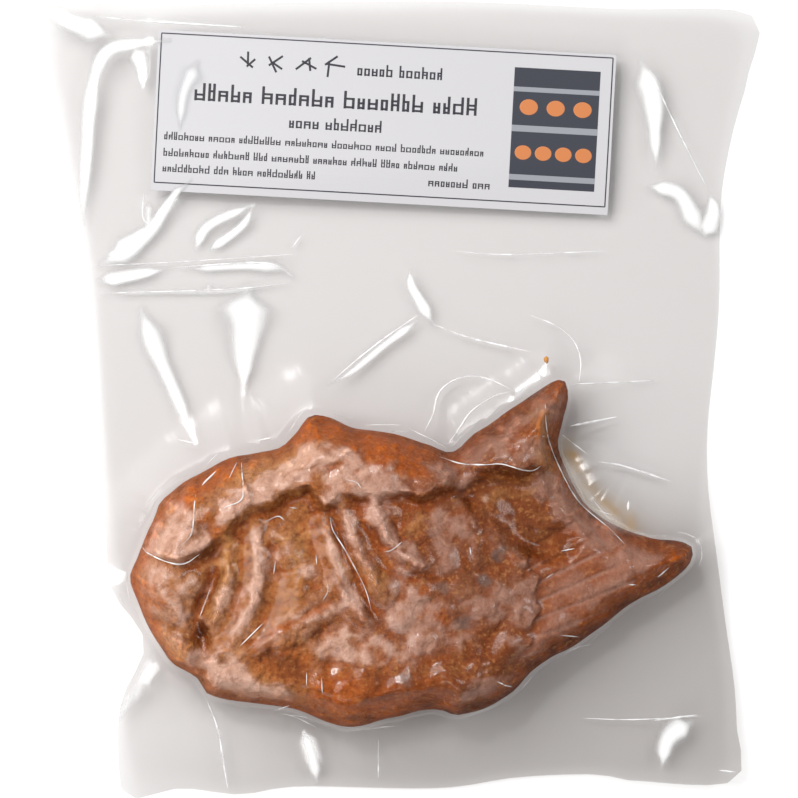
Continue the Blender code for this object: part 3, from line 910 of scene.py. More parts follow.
@dataclass(frozen=True)
class Baking:
    """The crust's tones and bloom from dabs and relief, with painted light and painted shade."""

    dabs: tuple[Dab, ...] = tuple(
        Dab(tone, tenths(*route), radius * TENTH, strength)
        for tone, rows in TONE_ROUTES.items()
        for radius, strength, route in rows
    )
    # How far a dab's edge wanders, over what distance, and the pattern
    ragged: tuple = ((0.0016, 0.0042, 21.0), (0.0009, 0.0015, 27.0))
    # Heights over a place's surroundings: how far those reach, what counts as wholly raised,
    # and from where to where a hollow deepens
    surroundings: float = 0.0034
    raised: float = 0.0009
    sunken: tuple = (-0.00020, -0.00110)
    # The slopes that count as steep, how far in from the seam, and how patchily
    steep: tuple = (0.75, 1.60)
    steep_start: tuple = (0.0050, 0.0075)
    steep_patches: tuple = (0.8, 0.5, 0.0035, 83.0)
    # How strongly dabs, raised places and the scales' pattern draw the bloom, and how strongly
    # other tones and bare dabs keep it off
    draws: tuple = (0.70, 0.34, 0.26)
    keeps_off: tuple = (0.35, 0.80)
    # Clouds of the bloom: their share, size and pattern, and how much of them the fan lacks
    clouds: tuple = ((0.30, 0.0060, 41.0), (0.30, 0.0026, 43.0), (0.20, 0.0011, 47.0))
    fan_clear: float = 0.7
    # Thin and thick bloom: the span of the pull over which each forms, and how strong it is
    layers: tuple = ((-0.22, 0.42, 0.24), (0.24, 0.66, 0.58))
    # In from the seam the bloom grows from a share to its whole strength, and dabs help it
    inland: tuple = (0.0010, 0.0050)
    bloom_at_seam: float = 0.15
    dab_reach: float = 0.7
    # How much of the bloom steep places and the flank's foot lack
    steep_clear: float = 0.85
    foot_clear: float = 0.5
    # Painted shade: along X across these places the bloom fades by this share and turns dull
    painted_shade_bloom_fade: tuple = (-0.0120, 0.0200, 0.20)
    painted_shade_dusk: tuple = (-0.0200, 0.0200)
    # The ember of the wall with its patches, and its share on the fan and in hollows
    wall_ember: tuple = (0.84, 0.7, 0.0042, 87.0)
    fan_ember: float = 0.75
    hollow_ember: float = 0.75
    # Painted light golds the nose and painted shade browns the tail: span along X, share of each
    painted_light_gold: tuple = (0.0000, -0.0350, 0.38)
    painted_shade_umber: tuple = (-0.0100, 0.0250, 0.42)
    # How dark hollows, the flank's foot, steep places and the wall's spots are
    # In hollows and on steep sides this darkening is painted shade
    darks_and_painted_shade: tuple = (0.26, 0.16, 0.45, 0.55)
    wall_spots: tuple = ((1.0, 0.0034, 89.0),)
    # The flank's foot is near the seam, below a line: how far in, and the line's level and slope
    foot: tuple = (0.0050, 0.0022)
    flank_line: tuple = (-0.0560, 0.28)

    def _dabbed(self, places: np.ndarray) -> dict[Tone, np.ndarray]:
        """How strong the dabs make each tone at each place."""
        tones = {tone: np.zeros(len(places)) for tone in Tone}
        ragged = layered(places, self.ragged)
        for dab in self.dabs:
            tones[dab.tone] = np.maximum(tones[dab.tone], dab.mask(places, ragged))
        return tones

    def _steep(self, crust: "Crust", places: np.ndarray) -> np.ndarray:
        """How strongly each place counts as a steep side of the inner relief."""
        slope = np.hypot(*np.gradient(crust.grid.shaped(crust.above), crust.step)).ravel()
        steep = smooth_step(*self.steep, slope) * smooth_step(*self.steep_start, crust.rim)
        return steep * patchy(places, *self.steep_patches)

    def _bloom(
        self, crust: "Crust", places: np.ndarray, tones: dict[Tone, np.ndarray], proud: np.ndarray
    ) -> np.ndarray:
        """How strong the bloom is at each place.

        Args:
            crust: the crust that it lies on.
            places: the places of the crust's grid.
            tones: what the dabs give.
            proud: how far each place stands above its surroundings.

        Returns:
            The bloom's strength.
        """
        strong = np.maximum.reduce([tones[tone] for tone in (Tone.EMBER, Tone.GOLD_AND_PAINTED_LIGHT, Tone.UMBER_AND_PAINTED_SHADE)])
        of_dabs, of_raised, of_scales = self.draws
        off_strong, off_bare = self.keeps_off
        pull = of_dabs * tones[Tone.BLOOM] + of_raised * np.clip(proud / self.raised, -1.0, 1.0)
        pull += of_scales * crust.scales.frost(places) + crust.fan.frost(places)
        pull -= off_strong * strong + off_bare * tones[Tone.BARE]
        pull += layered(places, self.clouds) * (1 - self.fan_clear * crust.fan.cover(places))
        bloom = sum(share * smooth_step(low, high, pull) for low, high, share in self.layers)
        grown = np.maximum(smooth_step(*self.inland, crust.rim), self.dab_reach * tones[Tone.BLOOM])
        start, end, faded = self.painted_shade_bloom_fade
        bloom *= self.bloom_at_seam + (1 - self.bloom_at_seam) * grown
        # The painted shade towards the tail fades the bloom
        return bloom * (1 - faded * smooth_step(start, end, places[:, 0]))

    def tones(self, crust: "Crust") -> dict[Tone, np.ndarray]:
        """How strong each tone is at each place of the crust's grid."""
        places = crust.grid.places()
        along = places[:, 0]
        proud = crust.above - crust.grid.blurred(crust.above, self.surroundings)
        hollow = smooth_step(*self.sunken, proud)
        steep = self._steep(crust, places)
        level, rise = self.flank_line
        foot = smooth_step(*self.foot, crust.rim) * (places[:, 1] < level + rise * along)
        on_wall = 1 - smooth_step(*self.inland, crust.rim)

        tones = self._dabbed(places)
        bloom = self._bloom(crust, places, tones, proud)
        tones[Tone.BLOOM] = bloom * (1 - self.steep_clear * steep) * (1 - self.foot_clear * foot)
        # Painted shade: towards the tail the bloom turns dull
        tones[Tone.PAINTED_SHADE_DUSK] = smooth_step(*self.painted_shade_dusk, along)
        tones[Tone.EMBER] = np.maximum.reduce([
            tones[Tone.EMBER], self.hollow_ember * hollow,
            on_wall * patchy(places, *self.wall_ember), self.fan_ember * crust.fan.cover(places),
        ])
        # Painted light towards the nose and painted shade towards the tail
        for tone, (start, end, share) in (
            (Tone.GOLD_AND_PAINTED_LIGHT, self.painted_light_gold), (Tone.UMBER_AND_PAINTED_SHADE, self.painted_shade_umber)
        ):
            tones[tone] = np.maximum(tones[tone], share * smooth_step(start, end, along))
        spots = on_wall * np.clip(layered(places, self.wall_spots), 0, 1)
        # Painted shade in hollows and on steep sides, with the foot and the wall's spots darkened too
        dark_and_painted_shade = sum(share * where for share, where in zip(self.darks_and_painted_shade, (hollow, foot, steep, spots)))
        tones[Tone.UMBER_AND_PAINTED_SHADE] = np.clip(tones[Tone.UMBER_AND_PAINTED_SHADE] + dark_and_painted_shade, 0, 1)
        return tones


@dataclass
class Crust:
    """The baked cake: a fish with a raised back, gill plates, scales and a grooved tail."""

    step: float = 0.00042
    outline_step: float = 0.0021
    margin: float = 0.0010
    seam_level: float = 0.0065
    seam_edge: float = 0.0012
    shoulder: float = 0.0095
    shoulder_power: float = 2.3
    body_rise: float = 0.0118
    crown: tuple = ((-0.015, -0.046), (0.042, 0.030), 0.0032)
    rest_patch: tuple = ((-0.006, -0.046), (0.034, 0.017))
    underside_relief: float = 0.35
    lift: float = 0.00015
    uneven: tuple = ((0.0009, 0.0065, 3.0),)
    relief_start: tuple = (0.0003, 0.0030)
    fine_start: tuple = (0.0000, 0.0016)
    # How much smoother the fan and the scales are than the rest
    calm: tuple[float, float] = (0.85, 0.35)
    # How far the wall bulges in and out, over what distance, and its pattern
    wall_bulges: tuple = ((0.0012, 0.0056, 101.0), (0.0005, 0.0023, 103.0))
    wall_start: float = 0.0020
    # How far the seam wanders from its plain line, over what distance, and the patterns
    frill: tuple = (0.00045, 0.0060, (91.5, 93.5))
    # Finer unevenness: depth, size of its bumps, pattern
    wrinkles: tuple = (
        (0.00065, 0.0052, 5.0), (0.00032, 0.0028, 7.0), (0.00008, 0.0012, 9.0),
    )
    # Creases of the crust: size of the fields between them, half width, depth, pattern
    veins: tuple = ((0.0082, 0.13, 0.00055, 71.0), (0.0044, 0.16, 0.00030, 73.0))
    vein_power: float = 1.5
    # How far the forms' edges wander, over what distance, and the patterns
    wander: tuple = (0.0011, 0.0048, (31.0, 37.0))
    # How much of that wander the fan takes, and where the flat under the cake ends
    fan_wander: float = 0.2
    rest_border: tuple = (1.0, 1.6)
    scales: Scales = Scales()
    fan: TailFan = TailFan()
    baking: Baking = Baking()
    plates: tuple[Plate, ...] = (
        Plate(tenths(
            (-636, -369), (-540, -400), (-486, -380), (-416, -320), (-368, -276), (-319, -260),
            (-271, -234), (-218, -222), (-180, -266), (-143, -236), (-60, -244), (1, -228), (45, -245),
            (114, -218), (130, -186), (100, -144), (200, 50), (-300, 100), (-600, 0), (-750, -300),
        ), 0.0026, 0.0046),
        Plate(tenths(
            (80, -120), (120, -152), (208, -164), (304, -176), (357, -158), (352, -60), (368, 40),
            (300, 150), (50, 50),
        ), 0.003, 0.004),
        Plate(tenths(
            (150, -230), (200, -200), (330, -215), (365, -270), (440, -345), (410, -385), (300, -380),
            (250, -320),
        ), 0.004, -0.003),
    )
    swellings: tuple[Swelling, ...] = ridges(
        (40, 20, ((-640, -480), (-625, -510))),
        (55, 30, ((-580, -440), (-535, -470))),
        (52, 32, ((-590, -585), (-535, -640))),
        (70, 28, ((-457, -700), (-345, -720), (-172, -745), (1, -735), (125, -715))),
        (40, 16, ((169, -732), (257, -702), (335, -653))),
        (26, 20, ((384, 12), (370, -76), (384, -174), (453, -262), (561, -350), (688, -389))),
        (26, 18, ((335, -609), (482, -556), (659, -458))),
    )
    folds: tuple[Swelling, ...] = ridges(
        (12, -14, ((-669, -444), (-588, -509))),
        (16, -22, ((-647, -546), (-570, -560), (-491, -594))),
        (20, -26, ((-459, -433), (-491, -546), (-481, -594), (-486, -664))),
        (24, 18, ((-427, -347), (-416, -433), (-443, -514), (-475, -541))),
        (22, 20, ((-357, -310), (-341, -406), (-352, -487), (-395, -562), (-427, -605))),
        (26, 16, ((-281, -350), (-232, -428), (-252, -487))),
        (42, 22, ((-385, -620), (-290, -575), (-207, -514))),
        (20, 19, ((-184, -300), (-135, -467), (-90, -530))),
        (20, 22, ((-139, -262), (-95, -389), (-47, -467))),
        (20, 20, ((-66, -262), (-17, -360), (51, -409))),
        (8, -10, ((-162, -303), (-128, -385), (-80, -484), (-63, -526))),
        (8, -9, ((-88, -306), (-46, -368), (-11, -363))),
        (12, -5, ((-316, -363), (-321, -437), (-331, -499))),
        (12, -4, ((-390, -350), (-395, -437), (-405, -499))),
        (10, -8, ((-370, -598), (-271, -553), (-172, -499))),
        (10, -7, ((-340, -635), (-234, -598), (-172, -553))),
        (11, 6, ((-26, -363), (21, -350), (58, -407))),
        (10, 7, ((-482, -177), (-459, -251), (-482, -306))),
        (10, 8, ((-415, -157), (-380, -207), (-365, -251))),
        (11, 9, ((-135, -132), (-93, -108), (-53, -78))),
        (11, -8, ((-172, -172), (-132, -157), (-98, -177))),
        (11, 8, ((-568, -251), (-524, -281), (-504, -326))),
        (11, 8, ((352, 6), (345, -105), (358, -162))),
    )
    outline: np.ndarray = field(init=False)
    grid: Grid = field(init=False)
    rim: np.ndarray = field(init=False)
    above: np.ndarray = field(init=False)
    below: np.ndarray = field(init=False)

    def __post_init__(self) -> None:
        """Works out the seam and the heights on a grid over the cake."""
        plain = curve(CAKE_OUTLINE, self.outline_step, closed=True)
        self.outline = strayed(fitted(plain, CAKE_SIZE, CAKE_MIDDLE), *self.frill)
        low = tuple(self.outline.min(0) - self.margin)
        high = tuple(self.outline.max(0) + self.margin)
        self.grid = Grid(low, high, self.step)
        places = self.grid.places()
        away, *_ = nearest_on(places, self.outline, closed=True)
        self.rim = np.where(is_inside(places, self.outline), away, 0.0)
        self._raise(places)

    def _relief(self, places: np.ndarray, straight: np.ndarray) -> np.ndarray:
        """What the mould and the vacuum left on the flank.

        Args:
            places: the places with their wander.
            straight: the same places without it.

        Returns:
            The relief's height at each place.
        """
        on_fan = (1 - self.fan_wander) * straight + self.fan_wander * places
        total = self.scales.height(places) + self.fan.height(on_fan)
        total += layered(places, self.uneven)
        for fold in self.folds:
            total += fold.height(places)
        return total

    def _raise(self, places: np.ndarray) -> None:
        """Works out the heights of the upper surface and the underside."""
        straight = places
        places = strayed(places, *self.wander)
        middle, half_sizes, crown = self.crown
        rise = self.body_rise + crown * np.exp(
            -np.sum(((places - middle) / half_sizes) ** 2, axis=1)
        )
        for form in (*self.plates, *self.swellings):
            rise += form.height(places)
        bulges = layered(places, self.wall_bulges)
        wall = self.rim + bulges * smooth_step(0.0, self.wall_start, self.rim)
        share = 1 - (1 - np.clip(wall / self.shoulder, 0, 1)) ** self.shoulder_power
        relief = self._relief(places, straight)
        fine = layered(places, self.wrinkles)
        for size, half_width, depth, layer in self.veins:
            beside = np.abs(bumps(places, size, layer)) / half_width
            fine -= depth * np.clip(1 - beside, 0, 1) ** self.vein_power
        on_fan, on_scales = self.calm
        fine *= 1 - on_fan * self.fan.cover(straight) - on_scales * self.scales.cover(places)
        start = smooth_step(*self.relief_start, self.rim)
        edge = self.seam_edge / 2
        self.above = self.seam_level + edge + rise * share + relief * start
        self.above += fine * smooth_step(*self.fine_start, self.rim)
        centre, half_patch = self.rest_patch
        away = np.hypot(*((places - centre) / half_patch).T)
        hollow = self.underside_relief * (relief + self.scales.rise + self.fan.step)
        top = self.seam_level - edge
        hollow = hollow * smooth_step(*self.rest_border, away)
        self.below = np.maximum(top + share * (hollow - top), self.lift)

    def make(self) -> bpy.types.Object:
        """Builds the crust and gives it its tones."""
        mesh = flat_grid(self.grid)
        trimmed(mesh, self.outline, self.step)
        raised = bmesh.ops.extrude_face_region(mesh, geom=mesh.faces[:])["geom"]
        top = [part for part in raised if isinstance(part, bmesh.types.BMVert)]
        bmesh.ops.translate(mesh, verts=top, vec=(0.0, 0.0, 1.0))
        bmesh.ops.recalc_face_normals(mesh, faces=mesh.faces[:])
        piece = as_piece("crust", mesh, CrustFinish().material())
        corners = corners_of(piece)
        places = corners[:, :2].copy()
        corners[:, 2] = np.where(
            corners[:, 2] > 0.5,
            self.grid.look_up(self.above, places),
            self.grid.look_up(self.below, places),
        )
        set_corners(piece, corners)
        for tone, values in self.baking.tones(self).items():
            carry(piece, tone.value, self.grid.look_up(values, places))
        piece.data.shade_smooth()
        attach(piece, BODY)
        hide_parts("taiyaki")
        return piece


@dataclass(frozen=True)
class Crease:
    """A fold of the film that catches the light: its route and its width at both ends."""

    route: Route
    widths: tuple[float, float]
    slope: float = 0.06
    # How milky it is: partly whitened film, partly a painted highlight of the lights' glare
    milk: float = 0.95
    shine: float = 1.0
    spacing: float = 0.0012
    # How far to its sides it counts, in widths
    reach: float = 3.0
    # The shares of its length over which it grows and fades, and how wide and how strong it is
    # at its very ends
    grows: tuple[float, float] = (0.0, 0.20)
    fades: tuple[float, float] = (1.0, 0.70)
    end_width: float = 0.30
    end_strength: float = 0.35
    uneven: tuple = (1.0, 0.35, 0.0070, 61.0)
    # The steepest slope of a crease as high as it is wide
    steepest: float = 0.86

    def lay(
        self, places: np.ndarray, height: np.ndarray, milk: np.ndarray, shine: np.ndarray
    ) -> None:
        """Raises the film's heights along the crease, its shine, and its milk with painted glare."""
        line = curve(self.route, self.spacing, closed=False)
        reach = self.reach * max(self.widths)
        near = np.flatnonzero(np.all(
            (places > line.min(0) - reach) & (places < line.max(0) + reach), axis=1
        ))
        away, _, part = nearest_on(places[near], line, closed=False)
        width = self.widths[0] + (self.widths[1] - self.widths[0]) * part
        whole = smooth_step(*self.grows, part) * smooth_step(*self.fades, part)
        width *= self.end_width + (1 - self.end_width) * whole
        width *= patchy(places[near], *self.uneven)
        shape = np.exp(-((away / width) ** 2))
        shape *= self.end_strength + (1 - self.end_strength) * whole
        height[near] += self.slope / self.steepest * width * shape
        milk[near] = np.maximum(milk[near], self.milk * shape)
        shine[near] = np.maximum(shine[near], self.shine * np.sqrt(shape))


@dataclass(frozen=True)
class Pinch:
    """A narrow pinched fold that stands on the film: its route and half its width."""

    route: Route
    half_width: float
    sides: int = 8
    spacing: float = 0.0006
    flat: float = 0.8
    # The share of its length that its taper leaves out at each end, so that no end is a point
    tip: float = 0.002
    # How its width varies: its mean share, how far it strays and over what distance
    uneven: tuple[float, float, float] = (0.66, 0.60, 0.0028)

    def add(self, mesh: bmesh.types.BMesh, film: Grid, height: np.ndarray) -> None:
        """Adds the fold as a thin flattened tube that tapers at both ends.

        Args:
            mesh: what it is added to.
            film: the grid that the film's heights are on.
            height: the film's heights.
        """
        line = curve(self.route, self.spacing, closed=False)
        along = np.gradient(line, axis=0)
        along /= np.linalg.norm(along, axis=1)[:, None]
        count = len(line) - 1
        verts = bmesh.ops.create_grid(
            mesh, x_segments=count, y_segments=self.sides, size=0.5
        )["verts"]
        level = film.look_up(height, line)
        mean, stray, size = self.uneven
        for vertex in verts:
            row = round((vertex.co.x + 0.5) * count)
            turn = (vertex.co.y + 0.5) * 2 * math.pi
            part = min(max(row / count, self.tip), 1 - self.tip)
            half_width = self.half_width * math.sqrt(math.sin(math.pi * part))
            half_width *= mean + stray * noise.noise(Vector((*line[row], 0.0)) / size)
            side = half_width * math.cos(turn)
            (x, y), (u, v) = line[row], along[row]
            rise = self.flat * half_width * math.sin(turn)
            vertex.co = (x - v * side, y + u * side, level[row] + rise)
        bmesh.ops.remove_doubles(mesh, verts=verts, dist=1e-7)


# The film's broad creases: the width at both ends and the route, in tenths of a millimetre,
# and what is special about the crease's look
# Their milk paints the lights' glare as white streaks, along with the film's whitening
CREASE_ROUTES: tuple = (
    (12, 30, ((-886, 979), (-814, 937), (-726, 907))),
    (12, 16, (
        (-573, 894), (-661, 886), (-726, 869), (-761, 804), (-779, 668), (-789, 525), (-794, 433),
    )),
    (20, 5, ((-661, 874), (-641, 821), (-641, 774))),
    (7, 12, ((-543, 533), (-596, 468), (-621, 433))),
    (16, 22, ((-621, 425), (-666, 397), (-721, 360))),
    (12, 8, ((-513, 372), (-478, 433), (-365, 485))),
    (10, 8, ((-478, 372), (-395, 433), (-365, 485))),
    (14, 5, ((-747, 290), (-584, 323))),
    (6, 16, ((26, 322), (29, 285), (50, 247), (83, 187))),
    (60, 4, ((-382, 272), (-387, 134), (-393, -4))),
    (28, 9, ((-649, 225), (-622, 149), (-595, 84), (-556, -3), (-508, -112)), ("milk", 0.85)),
    (8, 10, (
        (365, 84), (350, 56), (305, 19), (262, -19),
    ), ("slope", 0.03), ("milk", 0.4), ("shine", 0.35)),
    (30, 10, ((605, 840), (634, 763), (640, 668), (643, 573))),
    (12, 25, ((623, 532), (699, 514), (735, 455), (765, 408))),
    (25, 10, ((765, 408), (788, 468), (776, 514))),
    (13, 13, ((-239, -833), (-219, -894), (-207, -961))),
    (25, 15, ((-613, -633), (-676, -781)), ("milk", 0.45), ("shine", 0.4)),
    (30, 10, ((728, -811), (673, -851), (656, -927))),
    (12, 10, ((-757, 298), (-667, 313), (-583, 323)), ("milk", 0.7)),
    (7, 14, ((-534, 323), (-395, 331), (-306, 328), (-266, 308)), ("milk", 0.7)),
    (5, 6, ((-752, 264), (-643, 266), (-494, 266), (-370, 274), (-281, 284)), ("milk", 0.5)),
    (9, 6, ((48, 197), (-36, 135), (-118, 68), (-177, 33)), ("milk", 0.9)),
    (22, 6, ((-504, 838), (-539, 759), (-549, 665)), ("milk", 0.6)),
    (24, 8, ((-747, 338), (-667, 380), (-613, 437), (-568, 501), (-519, 546)), ("milk", 0.9)),
    (12, 10, ((-628, 492), (-628, 430), (-613, 405)), ("milk", 0.5)),
    (8, 8, ((-479, 288), (-479, 264)), ("milk", 0.4)),
    (26, 18, (
        (407, -132), (452, -217), (511, -286), (596, -340),
    ), ("slope", 0.0), ("milk", 0.4), ("shine", 0.15)),
    (8, 16, ((360, 80), (350, 46), (308, 6)), ("slope", 0.0), ("milk", 0.25), ("shine", 0.15)),
    (22, 14, (
        (-697, -400), (-712, -474), (-687, -549),
    ), ("slope", 0.0), ("milk", 0.35), ("shine", 0.3)),
    (16, 12, ((-628, -648), (-672, -747), (-732, -833)), ("milk", 0.4), ("shine", 0.4)),
)
# The routes of the film's pinched folds, in tenths of a millimetre, under half their width
# in metres
# Their white finish is a painted glint along each fold
PINCH_ROUTES: dict[float, tuple] = {
    0.00023: (
        ((-270, 377), (-242, 415)),
        ((-785, 332), (-584, 341), (-258, 362)),
        ((-759, 263), (-425, 275), (-268, 290)),
        ((132, 370), (272, 361), (518, 370)),
        ((425, 35), (653, 46)),
        ((623, 828), (693, 680), (771, 526)),
        ((456, -801), (583, -804), (763, -794)),
        ((-402, -157), (-417, -197)),
        ((-464, -466), (-489, -533)),
        ((-331, -303), (-298, -288), (-282, -298)),
        ((-271, -266), (-250, -269)),
        ((-303, -397), (-308, -430)),
        ((-204, -380), (-202, -406)),
        ((-177, -449), (-175, -471), (-188, -494)),
        ((-333, -549), (-388, -603)),
        ((-227, -670), (-227, -702)),
        ((-191, -682), (-188, -723)),
        ((-170, -288), (-162, -323), (-130, -375), (-85, -462), (-68, -521)),
        ((-132, -197), (-105, -204), (-93, -219)),
        ((-36, -374), (-19, -370), (6, -350)),
        ((172, -363), (175, -383)),
        ((328, -92), (358, -93)),
        ((397, -376), (432, -369)),
        ((358, -442), (379, -429)),
        ((563, -458), (583, -459)),
        ((397, -583), (449, -592)),
        ((358, 0), (360, -66), (379, -132), (437, -246), (521, -323), (556, -360)),
    ),
    0.00027: (
        ((-638, 525), (-643, 455), (-621, 433)),
        ((327, 209), (392, 182), (436, 144), (453, 94), (448, 41)),
        ((404, -90), (469, -139)),
        ((-53, -848), (-53, -951)),
        ((-390, -157), (-381, -239), (-427, -266)),
        ((-499, -232), (-502, -303), (-510, -336), (-534, -360)),
        ((-556, -103), (-502, -114)),
        ((236, -692), (279, -714)),
        ((336, -24), (336, -38)),
        ((638, -442), (667, -417)),
        ((100, -144), (150, -160), (208, -162), (249, -160), (304, -175), (331, -175), (355, -156)),
        ((-640, -368), (-618, -383), (-534, -404), (-487, -380)),
    ),
    0.00032: (
        ((-271, -761), (-314, -779)),
    ),
    0.00036: (
        ((-764, 954), (-651, 944), (-500, 934), (-387, 927)),
        ((-563, 329), (-340, 340), (-268, 307)),
        ((46, 209), (-40, 149), (-122, 84), (-176, 35)),
        ((83, 187), (177, 152), (327, 117)),
        ((61, -84), (83, -41), (99, 14), (137, 46), (187, 56), (234, 44), (285, 19)),
        ((121, -114), (153, -69), (181, -31), (234, 5), (285, 19)),
        ((799, -929), (841, -933)),
        ((-449, -175), (-487, -214)),
        ((-353, -105), (-317, -98)),
    ),
    0.00040: (
        ((497, -158), (563, -170), (678, -207)),
        ((573, -255), (570, -280)),
        ((-480, -751), (-455, -823), (-440, -914), (-430, -977)),
    ),
    0.00045: (
        ((425, -69), (545, -46)),
        ((636, -806), (746, -791)),
    ),
}


@dataclass
class VacuumBag:
    """The bag's front and back film, drawn tight over the cake and loose round it."""

    crust: Crust
    step: float = 0.00052
    back_step: float = 0.0011
    edge_step: float = 0.0050
    thickness: float = 0.0008
    # The film falls from the cake's seam over this distance, to this level over the table
    fall: float = 0.010
    fall_power: float = 1.3
    rest: float = 0.0010
    # Long waves of the loose film: their rise, length and place, what is left of them in the
    # pocket, and how far out from the cake they start and are whole
    ripple_rise: float = 0.0011
    ripple_length: tuple = (0.110, 0.151)
    ripple_place: tuple = (-0.0157, 0.0096)
    ripple_in_pocket: float = 0.25
    ripple_start: tuple = (0.006, 0.030)
    # Corners that curl up: place, reach and rise
    curls: tuple = (
        ((-0.088, 0.098), 0.022, 0.0060),
        ((0.088, 0.094), 0.020, 0.0045),
        ((-0.070, -0.098), 0.018, 0.0050),
        ((0.086, -0.094), 0.018, 0.0040),
    )
    # The pocket: from where to where along Y it opens, its rise, and its wave along X
    pocket_span: tuple = (0.036, 0.060)
    pocket_rise: float = 0.0016
    pocket_wave: tuple = (0.8, 0.201, -0.012)
    # The welded band: its ends along Y, half the width of its borders, and its rise
    weld: tuple = (0.0275, 0.0360)
    weld_border: float = 0.0006
    weld_rise: float = 0.0004
    seam_line: float = 0.0300
    # How the film spans hollows over the cake and beside it: turns and reach of each
    bridging: tuple = ((3, 0.0009), (4, 0.0011))
    bridging_border: float = 0.0030
    # Over how many steps of its grid the spanned film is evened out
    evened: float = 1.8
    # Folds that run out from the cake: their width, depth and reach, how far out they are whole,
    # how near the bag's edge they end, and how slowly they change on the way out
    tension: tuple = (0.0036, 0.00055, 0.012)
    tension_start: float = 0.003
    tension_end: float = 0.008
    tension_straight: float = 0.22
    tension_pattern: float = 51.0
    cling: float = 0.00015
    # The milky skirt round the cake: how far out it starts and is whole, and how milky it is
    skirt: tuple = (0.0042, 0.0010)
    skirt_milk: float = 0.07
    shine_border: float = 0.0008
    shine_on_cake: float = 0.48
    shine_beside: float = 0.12
    shine_behind: float = 0.12
    creases: tuple[Crease, ...] = tuple(
        Crease(tenths(*route), (first * TENTH, last * TENTH), **dict(look))
        for first, last, route, *look in CREASE_ROUTES
    )
    pinches: tuple[Pinch, ...] = tuple(
        Pinch(tenths(*route), half_width)
        for half_width, routes in PINCH_ROUTES.items()
        for route in routes
    )
    # Folds beside the cake's seam: how many, and the span of their lengths, of how far out they
    # lie and of their half widths
    seam_folds: int = 26
    seam_fold_length: tuple = (0.004, 0.016)
    seam_fold_out: tuple = (0.0002, 0.0026)
    seam_fold_width: tuple = (0.00007, 0.00020)
    seam_fold_seed: int = 5
    # Towards this corner a painted shade darkens the film, for the light's falloff: direction, start,
    # end
    painted_shade: tuple = ((0.578, -1.0), 0.044, 0.106)
    # Beside the cake a painted contact shadow darkens it too: by how much, how far out and from where
    # on
    painted_contact_shadow: tuple = (0.5, 0.005, 0.0015)
    # Thin batter that ran out between the films behind the tail
    stains: tuple[Swelling, ...] = (
        Swelling(tenths((413, -125), (434, -180), (462, -226), (502, -268), (565, -313)), 0.0025, 0.85),
        Swelling(tenths((434, -150), (446, -175)), 0.0012, 1.0),
        Swelling(tenths((512, -262), (532, -278)), 0.001, 0.7),
    )
    stain_patches: tuple = (0.8, 0.7, 0.0026, 81.0)
    edge: np.ndarray = field(init=False)
    grid: Grid = field(init=False)

    def __post_init__(self) -> None:
        """Works out the bag's edge and the grid over it."""
        self.edge = fitted(curve(BAG_OUTLINE, self.edge_step, closed=True), BAG_SIZE, (0.0, 0.0))
        half = np.array(BAG_SIZE) / 2
        self.grid = Grid(tuple(-half), tuple(half), self.step)

    def level(self, places: np.ndarray, away: np.ndarray) -> np.ndarray:
        """Height of the middle between the films, which falls from the seam to the table.

        Args:
            places: one place in each row.
            away: how far each is from the cake's seam, 0 over the cake.

        Returns:
            The heights.
        """
        x, y = places.T
        seam = self.crust.seam_level - self.rest
        hang = seam * np.exp(-((away / self.fall) ** self.fall_power))
        in_pocket = smooth_step(*self.pocket_span, y)
        turns = 2 * math.pi * ((places - self.ripple_place) / self.ripple_length).T
        loose = self.ripple_rise * np.sin(turns[0]) * np.cos(turns[1])
        loose *= 1 - (1 - self.ripple_in_pocket) * in_pocket
        for middle, reach, curl in self.curls:
            loose += curl * np.exp(-np.hypot(*(places - middle).T) / reach)
        share, length, crest = self.pocket_wave
        wave = 1 + share * np.cos(2 * math.pi * (x - crest) / length)
        pocket = self.pocket_rise * in_pocket * wave
        loose *= smooth_step(*self.ripple_start, away)
        return np.maximum(hang + self.rest + loose + pocket, self.thickness / 2)

    def seam_distance(self, places: np.ndarray) -> np.ndarray:
        """How far each place is outside the cake's seam, 0 over the cake."""
        away, *_ = nearest_on(places, self.crust.outline, closed=True)
        return np.where(is_inside(places, self.crust.outline), 0.0, away)

    def _bridged(self, height: np.ndarray, turns: int, reach: float) -> np.ndarray:
        """The height of a film drawn over this height, which spans its narrow hollows."""
        spanned = height
        for _ in range(turns):
            spanned = np.maximum(height, self.grid.blurred(spanned, reach))
        smooth = self.grid.blurred(spanned, self.evened * self.step)
        return self.grid.blurred(np.maximum(smooth, height), self.step)

    def _tension(self, places: np.ndarray, away: np.ndarray) -> np.ndarray:
        """Small folds of the film that run out from the cake's seam all round it."""
        seam = self.crust.outline
        _, _, part = nearest_on(places, seam, closed=True)
        along = part * np.linalg.norm(seam - np.roll(seam, 1, 0), axis=1).sum()
        size, depth, reach = self.tension
        laid_out = np.column_stack([along, self.tension_straight * away])
        fold = depth * bumps(laid_out, size, self.tension_pattern)
        to_edge, *_ = nearest_on(places, self.edge, closed=True)
        fold *= smooth_step(0.0, self.tension_end, to_edge)
        fold *= smooth_step(0.0, self.tension_start, away)
        return fold * np.exp(-((away / reach) ** 2))

